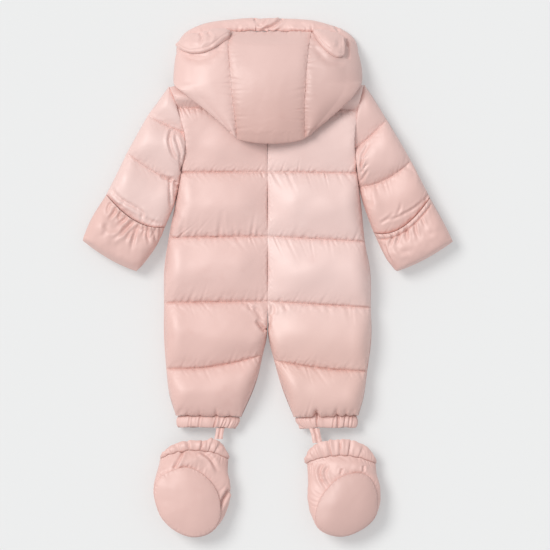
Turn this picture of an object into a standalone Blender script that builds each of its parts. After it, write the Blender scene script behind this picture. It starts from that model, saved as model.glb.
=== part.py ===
# Baby snowsuit lying face down: quilted back, sleeves with mitten flaps, hood with ears,
# gathered leg cuffs and two booties on straps. X is to the right seen from the back,
# +Y points to the hood, Z is up from the surface it rests on. Tables are in millimetres.
import math
from collections import namedtuple

import bmesh
import bpy
from mathutils import Vector

MM = 0.001

# Driving sizes
seam_height = 22.0        # side seams, where the front and the back half meet
seam_gap = 0.3            # clearance between two sewn pieces
zip_half_width = 6.0
zip_thickness = 3.0
side_rounding = 27.0      # how far the padding takes to round off at a side seam
hood_wall = 7.0
hood_rounding = 38.0
rim_height = 20.0
hood_on_back = 50.3       # height at which the hood lies on the back
cuff_wall = 4.0
mouth_start = 10.6        # row from which the front parts from the back towards the hem
mouth_depth = 12.5
leg_cuff_centre = 15.5    # height of the middle of the leg's elastic cuff
gather_depth = 1.6
leg_cuff_gathers = 18
bootie_cuff_gathers = 12
flap_gathers = 13
bootie_wall = 7.0
sole_padding = 12.0
strap_thickness = 2.6
ear_padding = 7.0
ear_clearance = 0.8       # over the hood's curve, which its faces cut a little short

cloth_pink = (0.74, 0.47, 0.44, 1.0)
zip_pink = (0.62, 0.38, 0.36, 1.0)

# A row is a quilt line (even rows) or the middle of the padded channel between two lines.
# edge_out and edge_in are the height left at the row's ends, as a share of its height.
Row = namedtuple("Row", "name outer_x outer_y inner_x inner_y sag height edge_out edge_in")

back_left_rows = [
    Row("shoulder",     -158.7,  309.3,   -0.15,  300.7,  15.0,  8.0, 0.45, 0.72),
    Row("yoke",         -151.5,  292.5,   -0.15,  289.0,   4.0, 24.0, 0.45, 0.72),
    Row("yoke line",    -146.7,  276.4,   -0.15,  276.4,   0.0, 13.0, 0.60, 0.90),
    Row("chest",        -133.6,  224.5,   -0.15,  224.5,   0.0, 27.5, 0.45, 0.72),
    Row("chest line",   -139.7,  171.9,   -0.15,  172.7,   0.0, 13.0, 0.45, 0.90),
    Row("waist",        -149.8,  119.2,   -0.15,  119.5,   0.0, 34.0, 0.14, 0.72),
    Row("waist line",   -160.0,   66.3,   -0.15,   68.2,   0.0, 14.0, 0.18, 0.90),
    Row("hip",          -167.3,   13.9,   -0.15,   14.8,   0.0, 34.0, 0.10, 0.72),
    Row("hip line",     -167.6,  -39.5,   -0.15,  -37.1,   0.0, 14.0, 0.18, 0.90),
    Row("thigh",        -167.6,  -93.0,   -0.60,  -86.5,  -3.0, 33.0, 0.10, 0.40),
    Row("leg line",     -164.0, -146.1,   -7.70, -123.8,  -7.3, 13.0, 0.18, 0.18),
    Row("calf",         -159.2, -187.0,  -19.80, -172.4,  -3.0, 30.0, 0.10, 0.12),
    Row("hem",          -148.5, -222.5,  -42.50, -224.5,   0.0, 10.0, 0.30, 0.30),
]
back_right_rows = [
    Row("shoulder",      155.6,  312.5,    0.15,  300.7,  15.0,  8.0, 0.45, 0.72),
    Row("yoke",          150.6,  291.0,    0.15,  289.0,   4.0, 24.0, 0.45, 0.72),
    Row("yoke line",     146.4,  272.6,    0.15,  275.0,   0.0, 13.0, 0.60, 0.90),
    Row("chest",         141.5,  224.5,    0.15,  224.5,   0.0, 27.5, 0.45, 0.72),
    Row("chest line",    145.4,  170.4,    0.15,  172.7,   0.0, 13.0, 0.45, 0.90),
    Row("waist",         150.4,  116.0,    0.15,  119.5,   0.0, 34.0, 0.14, 0.72),
    Row("waist line",    157.5,   59.8,    0.15,   68.2,   0.0, 14.0, 0.18, 0.90),
    Row("hip",           166.5,    9.1,    0.15,   14.8,   0.0, 34.0, 0.10, 0.72),
    Row("hip line",      167.3,  -47.0,    0.15,  -37.1,   0.0, 14.0, 0.18, 0.90),
    Row("thigh",         168.0,  -97.8,    0.40,  -86.5,  -3.0, 33.0, 0.10, 0.40),
    Row("leg line",      161.3, -150.5,   10.60, -133.0,  -3.5, 13.0, 0.18, 0.18),
    Row("calf",          155.6, -191.8,   24.00, -178.8,  -2.0, 30.0, 0.10, 0.12),
    Row("hem",           147.0, -222.5,   42.50, -225.0,   0.0, 10.0, 0.30, 0.30),
]
# The first five rows of a sleeve end on the armhole, so their inner_x is the armhole's.
sleeve_left_rows = [
    Row("shoulder",     -159.6,  311.0, -157.90,  306.8,   0.0,  7.0, 0.45, 0.45),
    Row("cap",          -177.0,  286.9, -150.00,  268.3,   0.0, 22.0, 0.12, 0.45),
    Row("cap line",     -194.0,  263.4, -140.00,  236.5,  -2.0, 11.0, 0.20, 0.55),
    Row("upper arm",    -211.8,  232.6, -135.00,  203.5,  -3.0, 27.0, 0.10, 0.45),
    Row("elbow line",   -227.5,  203.5, -144.60,  156.0,  -6.0, 11.0, 0.20, 0.20),
    Row("forearm",      -246.6,  164.6, -150.80,  125.7,  -8.0, 25.0, 0.10, 0.12),
    Row("flap edge",    -261.2,  135.9, -166.00,   83.1, -16.5, 12.0, 0.20, 0.20),
]
sleeve_right_rows = [
    Row("shoulder",      156.9,  313.6,  158.00,  308.0,   0.0,  7.0, 0.45, 0.45),
    Row("cap",           174.6,  286.9,  150.00,  260.2,   0.0, 22.0, 0.12, 0.45),
    Row("cap line",      193.2,  256.9,  142.00,  209.9,  -2.0, 11.0, 0.20, 0.55),
    Row("upper arm",     213.4,  223.7,  145.00,  180.8,  -3.0, 27.0, 0.10, 0.45),
    Row("elbow line",    232.1,  190.5,  150.00,  149.0,  -9.4, 11.0, 0.20, 0.20),
    Row("forearm",       249.1,  158.1,  157.30,  114.4, -10.0, 25.0, 0.10, 0.12),
    Row("flap edge",     262.8,  130.9,  172.10,   73.9, -17.0, 12.0, 0.20, 0.20),
]
armhole_end_y = 158.0
flap_left_rows = [
    Row("casing",       -261.5,  135.3, -166.40,   82.5, -16.5, 21.0, 0.25, 0.25),
    Row("elastic",      -269.3,  121.7, -171.30,   70.6, -13.0, 18.0, 0.20, 0.20),
    Row("hand",         -285.5,   96.6, -182.70,   48.0,  -9.0, 25.0, 0.12, 0.12),
    Row("fingers",      -296.8,   70.6, -201.30,   22.8,  -6.0, 19.0, 0.12, 0.12),
    Row("tip",          -299.3,   60.9, -212.60,   11.5,  -5.3,  3.0, 0.80, 0.80),
]
flap_right_rows = [
    Row("casing",        263.1,  130.3,  172.40,   73.3, -17.0, 21.0, 0.25, 0.25),
    Row("elastic",       269.3,  118.4,  179.40,   59.3, -14.3, 18.0, 0.20, 0.20),
    Row("hand",          285.5,   90.1,  190.80,   35.0, -10.0, 25.0, 0.12, 0.12),
    Row("fingers",       296.8,   67.4,  204.50,   15.6,  -6.0, 19.0, 0.12, 0.12),
    Row("tip",           300.0,   59.3,  210.50,   11.5,  -4.4,  3.0, 0.80, 0.80),
]

# Large folds pressed into the padding: a trough from one end to the other.
Fold = namedtuple("Fold", "name x1 y1 x2 y2 width depth")
folds = [
    Fold("left armpit, outer side",  -155.0,  228.0, -156.0,  192.0,  7.0,  6.0),
    Fold("left armpit, inner side",  -137.0,  226.0, -133.0,  190.0,  7.0,  5.0),
    Fold("left underarm",            -157.0,  160.0, -156.0,  112.0,  6.0,  7.0),
    Fold("right armpit",              152.0,  192.0,  146.0,  168.0,  7.0,  5.0),
    Fold("crotch, left",              -14.0,  -66.0,   -3.0,  -90.0,  8.0, 10.0),
    Fold("crotch, right",               8.0,  -50.0,    3.0,  -88.0,  7.0,  6.0),
]

# Hood panels: rows run from the seam beside the centre panel to the hood's outline.
# rest is the height of the wall's lower edge: on the rim, then over the shoulder.
HoodRow = namedtuple("HoodRow", "name seam_x seam_y edge_x edge_y sag rest height")
hood_left_rows = [
    HoodRow("rim seam",   -57.9, 400.1, -141.0, 380.0, 10.0, 20.3, 26.0),
    HoodRow("ear",        -63.6, 380.1, -147.8, 362.2,  4.0, 20.3, 47.0),
    HoodRow("temple",     -61.8, 349.3, -150.6, 342.8,  0.0, 20.3, 58.0),
    HoodRow("cheek",      -59.5, 323.5, -151.9, 321.5,  0.0, 24.0, 65.0),
    HoodRow("shoulder",   -58.7, 311.2, -149.8, 312.0,  0.0, 46.0, 68.0),
    HoodRow("nape",       -56.0, 287.7, -136.5, 296.6,  0.0, 50.3, 74.0),
    HoodRow("fold",       -52.6, 256.9,  -99.2, 266.7,  0.0, 50.3, 77.0),
    HoodRow("point",      -50.1, 232.6,  -61.2, 237.5,  0.0, 50.3, 71.0),
]
hood_right_rows = [
    HoodRow("rim seam",    70.9, 400.1,  140.5, 381.7,  6.0, 20.3, 26.0),
    HoodRow("ear",         67.1, 378.0,  146.7, 365.5,  3.0, 20.3, 47.0),
    HoodRow("temple",      63.9, 348.0,  151.6, 342.8,  0.0, 20.3, 58.0),
    HoodRow("cheek",       62.0, 323.5,  152.7, 321.7,  0.0, 24.0, 65.0),
    HoodRow("shoulder",    61.5, 311.2,  149.9, 312.0,  0.0, 46.0, 68.0),
    HoodRow("nape",        60.0, 285.5,  135.7, 291.8,  0.0, 50.3, 74.0),
    HoodRow("fold",        59.7, 255.9,  105.7, 259.4,  0.0, 50.3, 77.0),
    HoodRow("point",       60.7, 232.6,   73.3, 235.9,  0.0, 50.3, 71.0),
]
hood_bulge = 5.0          # how much higher the middle of the centre panel stands
hood_end_y = 218.0        # the hood's lowest point on the back
neck_seam_y = 297.0

RimPoint = namedtuple("RimPoint", "name x y width height")
rim_points = [
    RimPoint("left cheek",   -144.6, 323.4, 18.0, 19.7),
    RimPoint("left temple",  -147.2, 346.0, 18.0, 19.7),
    RimPoint("left ear",     -145.5, 366.0, 18.0, 19.7),
    RimPoint("left corner",  -136.2, 395.0, 18.0, 19.7),
    RimPoint("left bend",    -117.9, 406.8, 18.0, 19.7),
    RimPoint("left top",      -91.9, 414.9, 18.5, 19.7),
    RimPoint("left middle",   -53.1, 419.7, 20.0, 19.7),
    RimPoint("tuck start",    -22.0, 421.7, 21.0, 19.7),
    RimPoint("tuck",          -14.0, 419.5, 19.0, 16.0),
    RimPoint("twist",           2.0, 421.6, 21.0, 19.7),
    RimPoint("twist end",      22.4, 421.0, 21.0, 18.0),
    RimPoint("right middle",   52.2, 419.6, 20.0, 19.7),
    RimPoint("right top",      81.4, 416.0, 18.5, 19.7),
    RimPoint("right bend",    117.0, 405.0, 18.0, 19.7),
    RimPoint("right corner",  137.5, 391.4, 18.0, 19.7),
    RimPoint("right ear",     145.2, 376.8, 18.0, 19.7),
    RimPoint("right temple",  147.8, 352.0, 18.0, 19.7),
    RimPoint("right cheek",   148.6, 323.4, 18.0, 19.7),
]
# Across the band: distance from its outer line and height, as shares of width and height.
rim_section = [(0.16, 0.0), (0.02, 0.18), (0.0, 0.5), (0.1, 0.8), (0.35, 1.0), (0.7, 1.0), (1.0, 0.86), (1.0, 0.0)]

# Ears: how far along the side panel each reaches (0 at the centre seam, 1 at the outline)
# and how far down it hangs there, in rows of the hood table.
EarRow = namedtuple("EarRow", "across reach")
ear_left_rows = [EarRow(0.03, 0.12), EarRow(0.12, 0.55), EarRow(0.28, 0.95), EarRow(0.46, 1.12),
                 EarRow(0.64, 1.02), EarRow(0.80, 0.72), EarRow(0.90, 0.40)]
ear_right_rows = [EarRow(0.03, 0.12), EarRow(0.13, 0.55), EarRow(0.28, 0.95), EarRow(0.44, 1.25),
                  EarRow(0.60, 1.38), EarRow(0.72, 1.20), EarRow(0.78, 0.70)]

Bootie = namedtuple("Bootie", "side seam_x seam_y seam_half seam_lean edge_x edge_y edge_half edge_lean")
booties = [
    Bootie("left",  -119.0, -294.0, 55.0, 14.0, -116.5, -287.5, 51.0, 22.0),
    Bootie("right",  119.5, -301.5, 55.5, 13.0,  116.8, -294.5, 56.0, 30.0),
]
# The sole's outline, every 30 degrees from the right side round by the heel.
SolePoint = namedtuple("SolePoint", "x y bulge")
sole_left = [
    SolePoint(-75.5, -368.0, 17.0), SolePoint(-83.0, -340.8, 22.0), SolePoint(-103.3, -317.4, 12.0),
    SolePoint(-130.8, -305.2, 4.0), SolePoint(-160.0, -312.5, 3.0), SolePoint(-179.4, -325.5, 3.0),
    SolePoint(-184.3, -350.6, 1.0), SolePoint(-172.9, -386.2, 1.0), SolePoint(-150.3, -408.9, 1.0),
    SolePoint(-121.9, -419.4, 1.0), SolePoint(-95.2, -413.7, 2.0), SolePoint(-78.2, -394.3, 8.0),
]
sole_right = [
    SolePoint(178.6, -363.5, 6.0), SolePoint(175.4, -339.2, 8.0), SolePoint(163.2, -319.8, 4.0),
    SolePoint(141.3, -314.6, 4.0), SolePoint(112.2, -324.6, 12.0), SolePoint(87.9, -351.4, 20.0),
    SolePoint(77.4, -377.3, 12.0), SolePoint(79.8, -401.6, 3.0), SolePoint(99.2, -415.4, 1.0),
    SolePoint(126.8, -417.8, 1.0), SolePoint(156.7, -404.8, 1.0), SolePoint(174.6, -386.2, 2.0),
]
sole_height_heel = 44.0
sole_height_toe = 36.0
ankle_centre_height = 17.0
ankle_half_height = 17.5
under_lean = 6.0          # how far the ankle's underside is drawn in

Strap = namedtuple("Strap", "name x y z half_width")
strap_left = [
    Strap("leg end",    -76.5, -242.6, 22.0, 6.3),
    Strap("middle",     -78.5, -254.0, 24.5, 5.6),
    Strap("bootie end", -80.5, -267.5, 26.0, 6.5),
]
strap_right = [
    Strap("leg end",     75.5, -242.9, 22.0, 8.5),
    Strap("middle",      78.0, -252.0, 24.5, 7.6),
    Strap("bootie end",  81.0, -266.8, 26.0, 7.8),
]


def curve(values, t):
    """Smooth curve through evenly spaced values."""
    last = len(values) - 1
    i = min(max(int(t), 0), last - 1)
    f = t - i
    p1 = values[i]
    p2 = values[i + 1]
    p0 = values[i - 1] if i > 0 else 2 * p1 - p2
    p3 = values[i + 2] if i < last - 1 else 2 * p2 - p1
    a = 2 * p0 - 5 * p1 + 4 * p2 - p3
    b = 3 * p1 - p0 - 3 * p2 + p3
    return 0.5 * (2 * p1 + (p2 - p0) * f + a * f * f + b * f ** 3)


def line(values, t):
    i = min(int(t), len(values) - 2)
    return values[i] + (values[i + 1] - values[i]) * (t - i)


def column(rows, name):
    return [getattr(row, name) for row in rows]


def padded_height(heights, t):
    """Rises steeply from each quilt line (even rows) and is flat in the middle of a channel."""
    i = min(int(t), len(heights) - 2)
    f = t - i
    if i % 2 == 0:
        low, high = heights[i], heights[i + 1]
    else:
        low, high = heights[i + 1], heights[i]
        f = 1 - f
    return low + (high - low) * math.sin(f * math.pi / 2) ** 0.8


def bulge(share):
    """Quarter-round rise from 0 at an edge to 1."""
    share = min(max(share, 0.0), 1.0)
    return math.sqrt(1 - (1 - share) ** 2)


def fold_depth(x, y):
    depth = 0.0
    for fold in folds:
        along = Vector((fold.x2 - fold.x1, fold.y2 - fold.y1))
        away = Vector((x - fold.x1, y - fold.y1))
        share = min(max(away.dot(along) / along.length_squared, 0.0), 1.0)
        distance = (away - along * share).length / fold.width
        depth += fold.depth * math.exp(-distance * distance)
    return depth


def row_ends(rows, t):
    outer = Vector((curve(column(rows, "outer_x"), t), curve(column(rows, "outer_y"), t)))
    side = math.copysign(1.0, outer.x)
    inner_x = side * max(side * curve(column(rows, "inner_x"), t), seam_gap / 2)
    return outer, Vector((inner_x, curve(column(rows, "inner_y"), t)))


def armhole_x(rows, y):
    """X of the body's armhole edge at the height y."""
    steps = 160
    best = min((k * 5.0 / steps for k in range(steps + 1)),
               key=lambda t: abs(curve(column(rows, "outer_y"), t) - y))
    return curve(column(rows, "outer_x"), best)


def round_ends(width, out_edge, in_edge):
    """Shares of a row's width at which its columns lie, close together where it rounds off."""
    out_width = (side_rounding - out_edge * 20) / width
    in_width = (side_rounding - in_edge * 20) / width
    out_width = min(out_width, 0.42)
    in_width = min(in_width, 0.42)
    middle = (out_width + 1 - in_width) / 2
    shares = [0.0, out_width * 0.13, out_width * 0.5, out_width, middle]
    shares += [1 - in_width, 1 - in_width * 0.5, 1 - in_width * 0.13, 1.0]
    return shares, out_width, in_width


def top_point(rows, t, share, out_width, in_width, height):
    outer, inner = row_ends(rows, t)
    sag = curve(column(rows, "sag"), t)
    x = outer.x + (inner.x - outer.x) * share
    y = outer.y + (inner.y - outer.y) * share + sag * 4 * share * (1 - share)
    out_edge = line(column(rows, "edge_out"), t)
    in_edge = line(column(rows, "edge_in"), t)
    from_out = out_edge + (1 - out_edge) * bulge(share / out_width)
    from_in = in_edge + (1 - in_edge) * bulge((1 - share) / in_width)
    return Vector((x, y, height * from_out * from_in))


def hem_mouth(t, share):
    """How far the front lies below the back at the opening near the leg's hem."""
    lens = 1 - (2 * share - 1) ** 4
    opened = min(max(t - mouth_start, 0.0) * 1.5 / (12 - mouth_start), 1.0)
    return mouth_depth * lens * math.sin(opened * math.pi / 2)


def half_channel_steps(rows, shares):
    """Row positions: shares are measured from each quilt line to the channel's middle."""
    steps = []
    for i in range(len(rows) - 1):
        if i % 2 == 0:
            steps += [i + share for share in shares]
        else:
            steps += [i] + [i + 1 - share for share in reversed(shares[1:])]
    return steps + [len(rows) - 1]


def fix_armhole(rows, body_rows, side):
    """Ends the sleeve's rows just outside the body's armhole edge."""
    fixed = []
    for row in rows:
        if row.inner_y > armhole_end_y:
            row = row._replace(inner_x=armhole_x(body_rows, row.inner_y) + side * 0.7)
        fixed.append(row)
    return fixed


def material(name, colour, roughness):
    made = bpy.data.materials.new(name)
    made.use_nodes = True
    shader = made.node_tree.nodes["Principled BSDF"]
    shader.inputs["Base Color"].default_value = colour
    shader.inputs["Roughness"].default_value = roughness
    shader.inputs["Metallic"].default_value = 0.0
    return made


def add_object(name, mesh_points, faces, colour=cloth_pink, roughness=0.45):
    built = bmesh.new()
    vertices = [built.verts.new(point * MM) for point in mesh_points]
    for face in faces:
        built.faces.new([vertices[i] for i in face])
    bmesh.ops.recalc_face_normals(built, faces=built.faces)
    mesh = bpy.data.meshes.new(name)
    built.to_mesh(mesh)
    built.free()
    mesh.shade_smooth()
    mesh.set_sharp_from_angle(angle=math.radians(50))
    mesh.materials.append(material(name, colour, roughness))
    made = bpy.data.objects.new(name, mesh)
    bpy.context.scene.collection.objects.link(made)
    return made


def grid_faces(index, rows, columns, wrap=False):
    faces = []
    across = columns if wrap else columns - 1
    for i in range(rows - 1):
        for j in range(across):
            k = (j + 1) % columns
            faces.append((index(i, j), index(i, k), index(i + 1, k), index(i + 1, j)))
    return faces


def slab(name, outer, inner, flat_rows=0, colour=cloth_pink):
    """Solid between two grids of equal size. The first flat_rows of the inner grid lie in
    one plane and are closed by a single face."""
    rows = len(outer)
    columns = len(outer[0])
    points = [point for row in outer for point in row]
    inner_index = {}
    for i in range(rows):
        for j in range(columns):
            inside = 0 < i < flat_rows and 0 < j < columns - 1
            if not inside:
                inner_index[(i, j)] = len(points)
                points.append(inner[i][j])
    faces = grid_faces(lambda i, j: i * columns + j, rows, columns)
    if flat_rows:
        ring = [inner_index[(0, j)] for j in range(columns)]
        ring += [inner_index[(i, columns - 1)] for i in range(1, flat_rows + 1)]
        ring += [inner_index[(flat_rows, j)] for j in range(columns - 2, -1, -1)]
        ring += [inner_index[(i, 0)] for i in range(flat_rows - 1, 0, -1)]
        faces.append(ring)
    for i in range(flat_rows, rows - 1):
        for j in range(columns - 1):
            faces.append([inner_index[key] for key in ((i, j), (i + 1, j), (i + 1, j + 1), (i, j + 1))])
    for i in range(rows - 1):
        for j in (0, columns - 1):
            faces.append((i * columns + j, (i + 1) * columns + j, inner_index[(i + 1, j)], inner_index[(i, j)]))
    for j in range(columns - 1):
        for i in (0, rows - 1):
            faces.append((i * columns + j, i * columns + j + 1, inner_index[(i, j + 1)], inner_index[(i, j)]))
    return add_object(name, points, faces, colour)


def tube(name, outer, inner, colour=cloth_pink):
    """Open tube with a wall: outer and inner are lists of closed rings of equal size."""
    count = len(outer[0])
    rings = outer + inner[::-1]
    points = [point for ring in rings for point in ring]
    faces = grid_faces(lambda i, j: i * count + j, len(rings), count, wrap=True)
    for j in range(count):
        k = (j + 1) % count
        last = (len(rings) - 1) * count
        faces.append((last + j, last + k, k, j))
    return add_object(name, points, faces, colour)


def back_panel(name, rows):
    steps = half_channel_steps(rows, (0.0, 0.2, 0.6))
    heights = column(rows, "height")
    outer = []
    inner = []
    for t in steps:
        start, end = row_ends(rows, t)
        shares, out_width, in_width = round_ends((end - start).length, line(column(rows, "edge_out"), t),
                                                 line(column(rows, "edge_in"), t))
        top_row = []
        low_row = []
        for share in shares:
            point = top_point(rows, t, share, out_width, in_width, padded_height(heights, t))
            top = seam_height + seam_gap / 2 + max(point.z - fold_depth(point.x, point.y), 3.0)
            top_row.append(Vector((point.x, point.y, top)))
            low_row.append(Vector((point.x, point.y, seam_height + seam_gap / 2)))
        outer.append(top_row)
        inner.append(low_row)
    return slab(name, outer, inner, len(outer) - 1)


def front_panel(name, rows, side):
    """Front half: flat on the surface, rounding up to the side seam, beside the zip."""
    steps = [t for t in half_channel_steps(rows, (0.0, 0.2, 0.6)) if t < 5]
    steps += [5 + k * 0.5 for k in range(2 * (len(rows) - 6) + 1)]
    top_height = seam_height - seam_gap / 2
    opened = []
    for i, row in enumerate(rows):
        beside_zip = side * (zip_half_width + seam_gap)
        if i <= 8:
            row = row._replace(inner_x=beside_zip)
        elif i == 9:
            row = row._replace(inner_x=side * 0.6)
        opened.append(row)
    outer = []
    inner = []
    for t in steps:
        start, end = row_ends(opened, t)
        out_edge = line(column(rows, "edge_out"), t)
        in_edge = 0.2 if t < 9 else line(column(rows, "edge_in"), t)
        shares, out_width, in_width = round_ends((end - start).length, out_edge, in_edge)
        depth = top_height * min(0.5 + t, 1.0)
        low_row = []
        top_row = []
        for share in shares[:4] + shares[5:]:
            point = top_point(opened, t, share, out_width, in_width, depth)
            full = depth * (out_edge + (1 - out_edge) * bulge(share / out_width))
            full *= in_edge + (1 - in_edge) * bulge((1 - share) / in_width)
            low_row.append(Vector((point.x, point.y, top_height - max(full, 3.0))))
            top_row.append(Vector((point.x, point.y, top_height - hem_mouth(t, share))))
        outer.append(low_row)
        inner.append(top_row)
    flat_rows = max(i for i, t in enumerate(steps) if t <= mouth_start)
    return slab(name, outer, inner, flat_rows)


def sleeve_back(name, rows):
    steps = half_channel_steps(rows, (0.0, 0.2, 0.6))
    heights = column(rows, "height")
    outer = []
    inner = []
    for t in steps:
        start, end = row_ends(rows, t)
        shares, out_width, in_width = round_ends(max((end - start).length, 4.0), line(column(rows, "edge_out"), t),
                                                 line(column(rows, "edge_in"), t))
        top_row = []
        low_row = []
        for share in shares:
            point = top_point(rows, t, share, out_width, in_width, padded_height(heights, t))
            top = seam_height + seam_gap / 2 + max(point.z - fold_depth(point.x, point.y), 2.6)
            top_row.append(Vector((point.x, point.y, top)))
            low_row.append(Vector((point.x, point.y, seam_height + seam_gap / 2)))
        outer.append(top_row)
        inner.append(low_row)
    return slab(name, outer, inner, len(outer) - 1)


def sleeve_front(name, sleeve_rows, flap_rows):
    rows = sleeve_rows[:-1] + [flap_rows[0], flap_rows[2], flap_rows[4]]
    steps = [t for t in half_channel_steps(sleeve_rows, (0.0, 0.2, 0.6)) if t < 4]
    steps += [4 + k * 0.5 for k in range(2 * (len(rows) - 5) + 1)]
    top_height = seam_height - seam_gap / 2
    last = len(rows) - 1
    outer = []
    inner = []
    for t in steps:
        start, end = row_ends(rows, t)
        out_edge = min(line(column(rows, "edge_out"), t), 0.45)
        in_edge = min(line(column(rows, "edge_in"), t), 0.45)
        shares, out_width, in_width = round_ends(max((end - start).length, 4.0), out_edge, in_edge)
        depth = top_height * min(0.4 + t, 1.0, 0.35 + (last - t) * 0.9)
        low_row = []
        top_row = []
        for share in shares[:4] + shares[5:]:
            point = top_point(rows, t, share, out_width, in_width, depth)
            full = depth * (out_edge + (1 - out_edge) * bulge(share / out_width))
            full *= in_edge + (1 - in_edge) * bulge((1 - share) / in_width)
            low_row.append(Vector((point.x, point.y, top_height - max(full, 3.0))))
            top_row.append(Vector((point.x, point.y, top_height)))
        outer.append(low_row)
        inner.append(top_row)
    return slab(name, outer, inner, len(outer) - 1)


def mitten_flap(name, rows):
    """Gathered along its elastic edge; the gathers fade towards the tip."""
    points_per_gather = 4
    count = flap_gathers * points_per_gather
    steps = [0.0, 0.55, 1.0, 1.5, 2.0, 3.0, 3.6, 4.0]
    outer = []
    inner = []
    for t in steps:
        top_row = []
        low_row = []
        for k in range(count + 1):
            share = k / count
            height = curve(column(rows, "height"), t)
            point = top_point(rows, t, share, 0.22, 0.22, height)
            fade = max(0.0, 1 - t / 2.6)
            inside = math.sin(share * math.pi)
            wave = math.sin(k * 2 * math.pi / points_per_gather + 0.6) * 2.2 * fade * inside
            top = seam_height + seam_gap / 2 + max(point.z + wave, 2.4)
            top_row.append(Vector((point.x, point.y, top)))
            low_row.append(Vector((point.x, point.y, seam_height + seam_gap / 2)))
        outer.append(top_row)
        inner.append(low_row)
    return slab(name, outer, inner, len(outer) - 1)


def flat_ring(centre_x, half_width, centre_z, half_height, count):
    """Flattened round section, as directions and points, with a flat underside."""
    ring = []
    for k in range(count):
        angle = 2 * math.pi * k / count
        c = math.cos(angle)
        s = math.sin(angle)
        x = centre_x + half_width * math.copysign(abs(c) ** 0.75, c)
        z = centre_z + half_height * math.copysign(abs(s) ** 0.75, s)
        ring.append((angle, x, z))
    return ring


def leg_cuff(name, rows):
    outer_x = rows[-1].outer_x
    inner_x = rows[-1].inner_x
    centre_x = (outer_x + inner_x) / 2
    half_width = abs(outer_x - inner_x) / 2
    hem_y = min(rows[-1].outer_y, rows[-1].inner_y) - 0.6
    count = 96
    profile = [(0.0, -2.5, -1.5), (5.5, 0.5, 0.3), (11.5, 0.0, 0.0), (16.0, -2.0, -2.0)]
    outer = []
    inner = []
    for drop, widen, raise_by in profile:
        ring = flat_ring(centre_x, half_width + widen, leg_cuff_centre, leg_cuff_centre + raise_by, count)
        outer_ring = []
        inner_ring = []
        for angle, x, z in ring:
            on_top = max(0.0, math.sin(angle) + 0.25) / 1.25
            wave = gather_depth * math.sin(angle * leg_cuff_gathers * 2) * on_top
            slant = 1.8 * math.cos(angle) * math.copysign(1.0, -centre_x)
            y = hem_y - drop - max(slant, 0.0) * (drop / 16.0)
            outer_ring.append(Vector((x + wave * math.cos(angle), y, max(z + wave * math.sin(angle), 0.0))))
        for angle, x, z in flat_ring(centre_x, half_width + widen - cuff_wall - gather_depth, leg_cuff_centre,
                                     leg_cuff_centre + raise_by - cuff_wall - 1.0, count):
            slant = 1.8 * math.cos(angle) * math.copysign(1.0, -centre_x)
            y = hem_y - drop - max(slant, 0.0) * (drop / 16.0)
            inner_ring.append(Vector((x, y, z)))
        outer.append(outer_ring)
        inner.append(inner_ring)
    return tube(name, outer, [inner[0], inner[-1]])


def hood_frame(rows, t):
    return {name: curve(column(rows, name), t) for name in ("seam_x", "seam_y", "edge_x", "edge_y", "sag", "height")}


def hood_point(rows, t, share, inset):
    """Point on the hood's side panel; inset is the distance inside its outer surface."""
    row = hood_frame(rows, t)
    rest = line(column(rows, "rest"), t)
    width = math.hypot(row["edge_x"] - row["seam_x"], row["edge_y"] - row["seam_y"])
    share_inside = min(share, 1 - inset / width * share)
    x = row["seam_x"] + (row["edge_x"] - row["seam_x"]) * share_inside
    y = row["seam_y"] + (row["edge_y"] - row["seam_y"]) * share_inside
    y += row["sag"] * 4 * share * (1 - share)
    from_rim = max(0.0, 1 - t / 0.9)
    y -= inset * from_rim
    height = row["height"] - inset
    puff = 4.0 * math.sin(math.pi * min(share * 1.4, 1.0)) * min(t, 1.0)
    reach = min(hood_rounding / width, 1.0)
    rise = bulge((1 - share) / reach)
    return Vector((x, y, rest + (height + puff - rest) * rise))


def hood_steps():
    return [0.0, 0.12, 0.35, 0.65, 1.0, 1.5, 2.0, 2.5, 3.0, 3.5, 4.0, 4.5, 5.0, 5.5, 6.0, 6.5, 7.0]


def hood_side(name, rows, side):
    shares = [0.0, 0.12, 0.3, 0.5, 0.68, 0.82, 0.92, 0.98, 1.0]
    outer = []
    inner = []
    for t in hood_steps():
        outer_row = []
        inner_row = []
        for share in shares:
            out_point = hood_point(rows, t, share, 0.0)
            in_point = hood_point(rows, t, share, hood_wall)
            if t == 0.0:
                out_point.z = 20.3
                in_point.z = 20.3
            shift = side * seam_gap / 2 * (1 - share)
            outer_row.append(out_point + Vector((shift, 0, 0)))
            inner_row.append(in_point + Vector((shift, 0, 0)))
        outer.append(outer_row)
        inner.append(inner_row)
    return slab(name, outer, inner)


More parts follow.
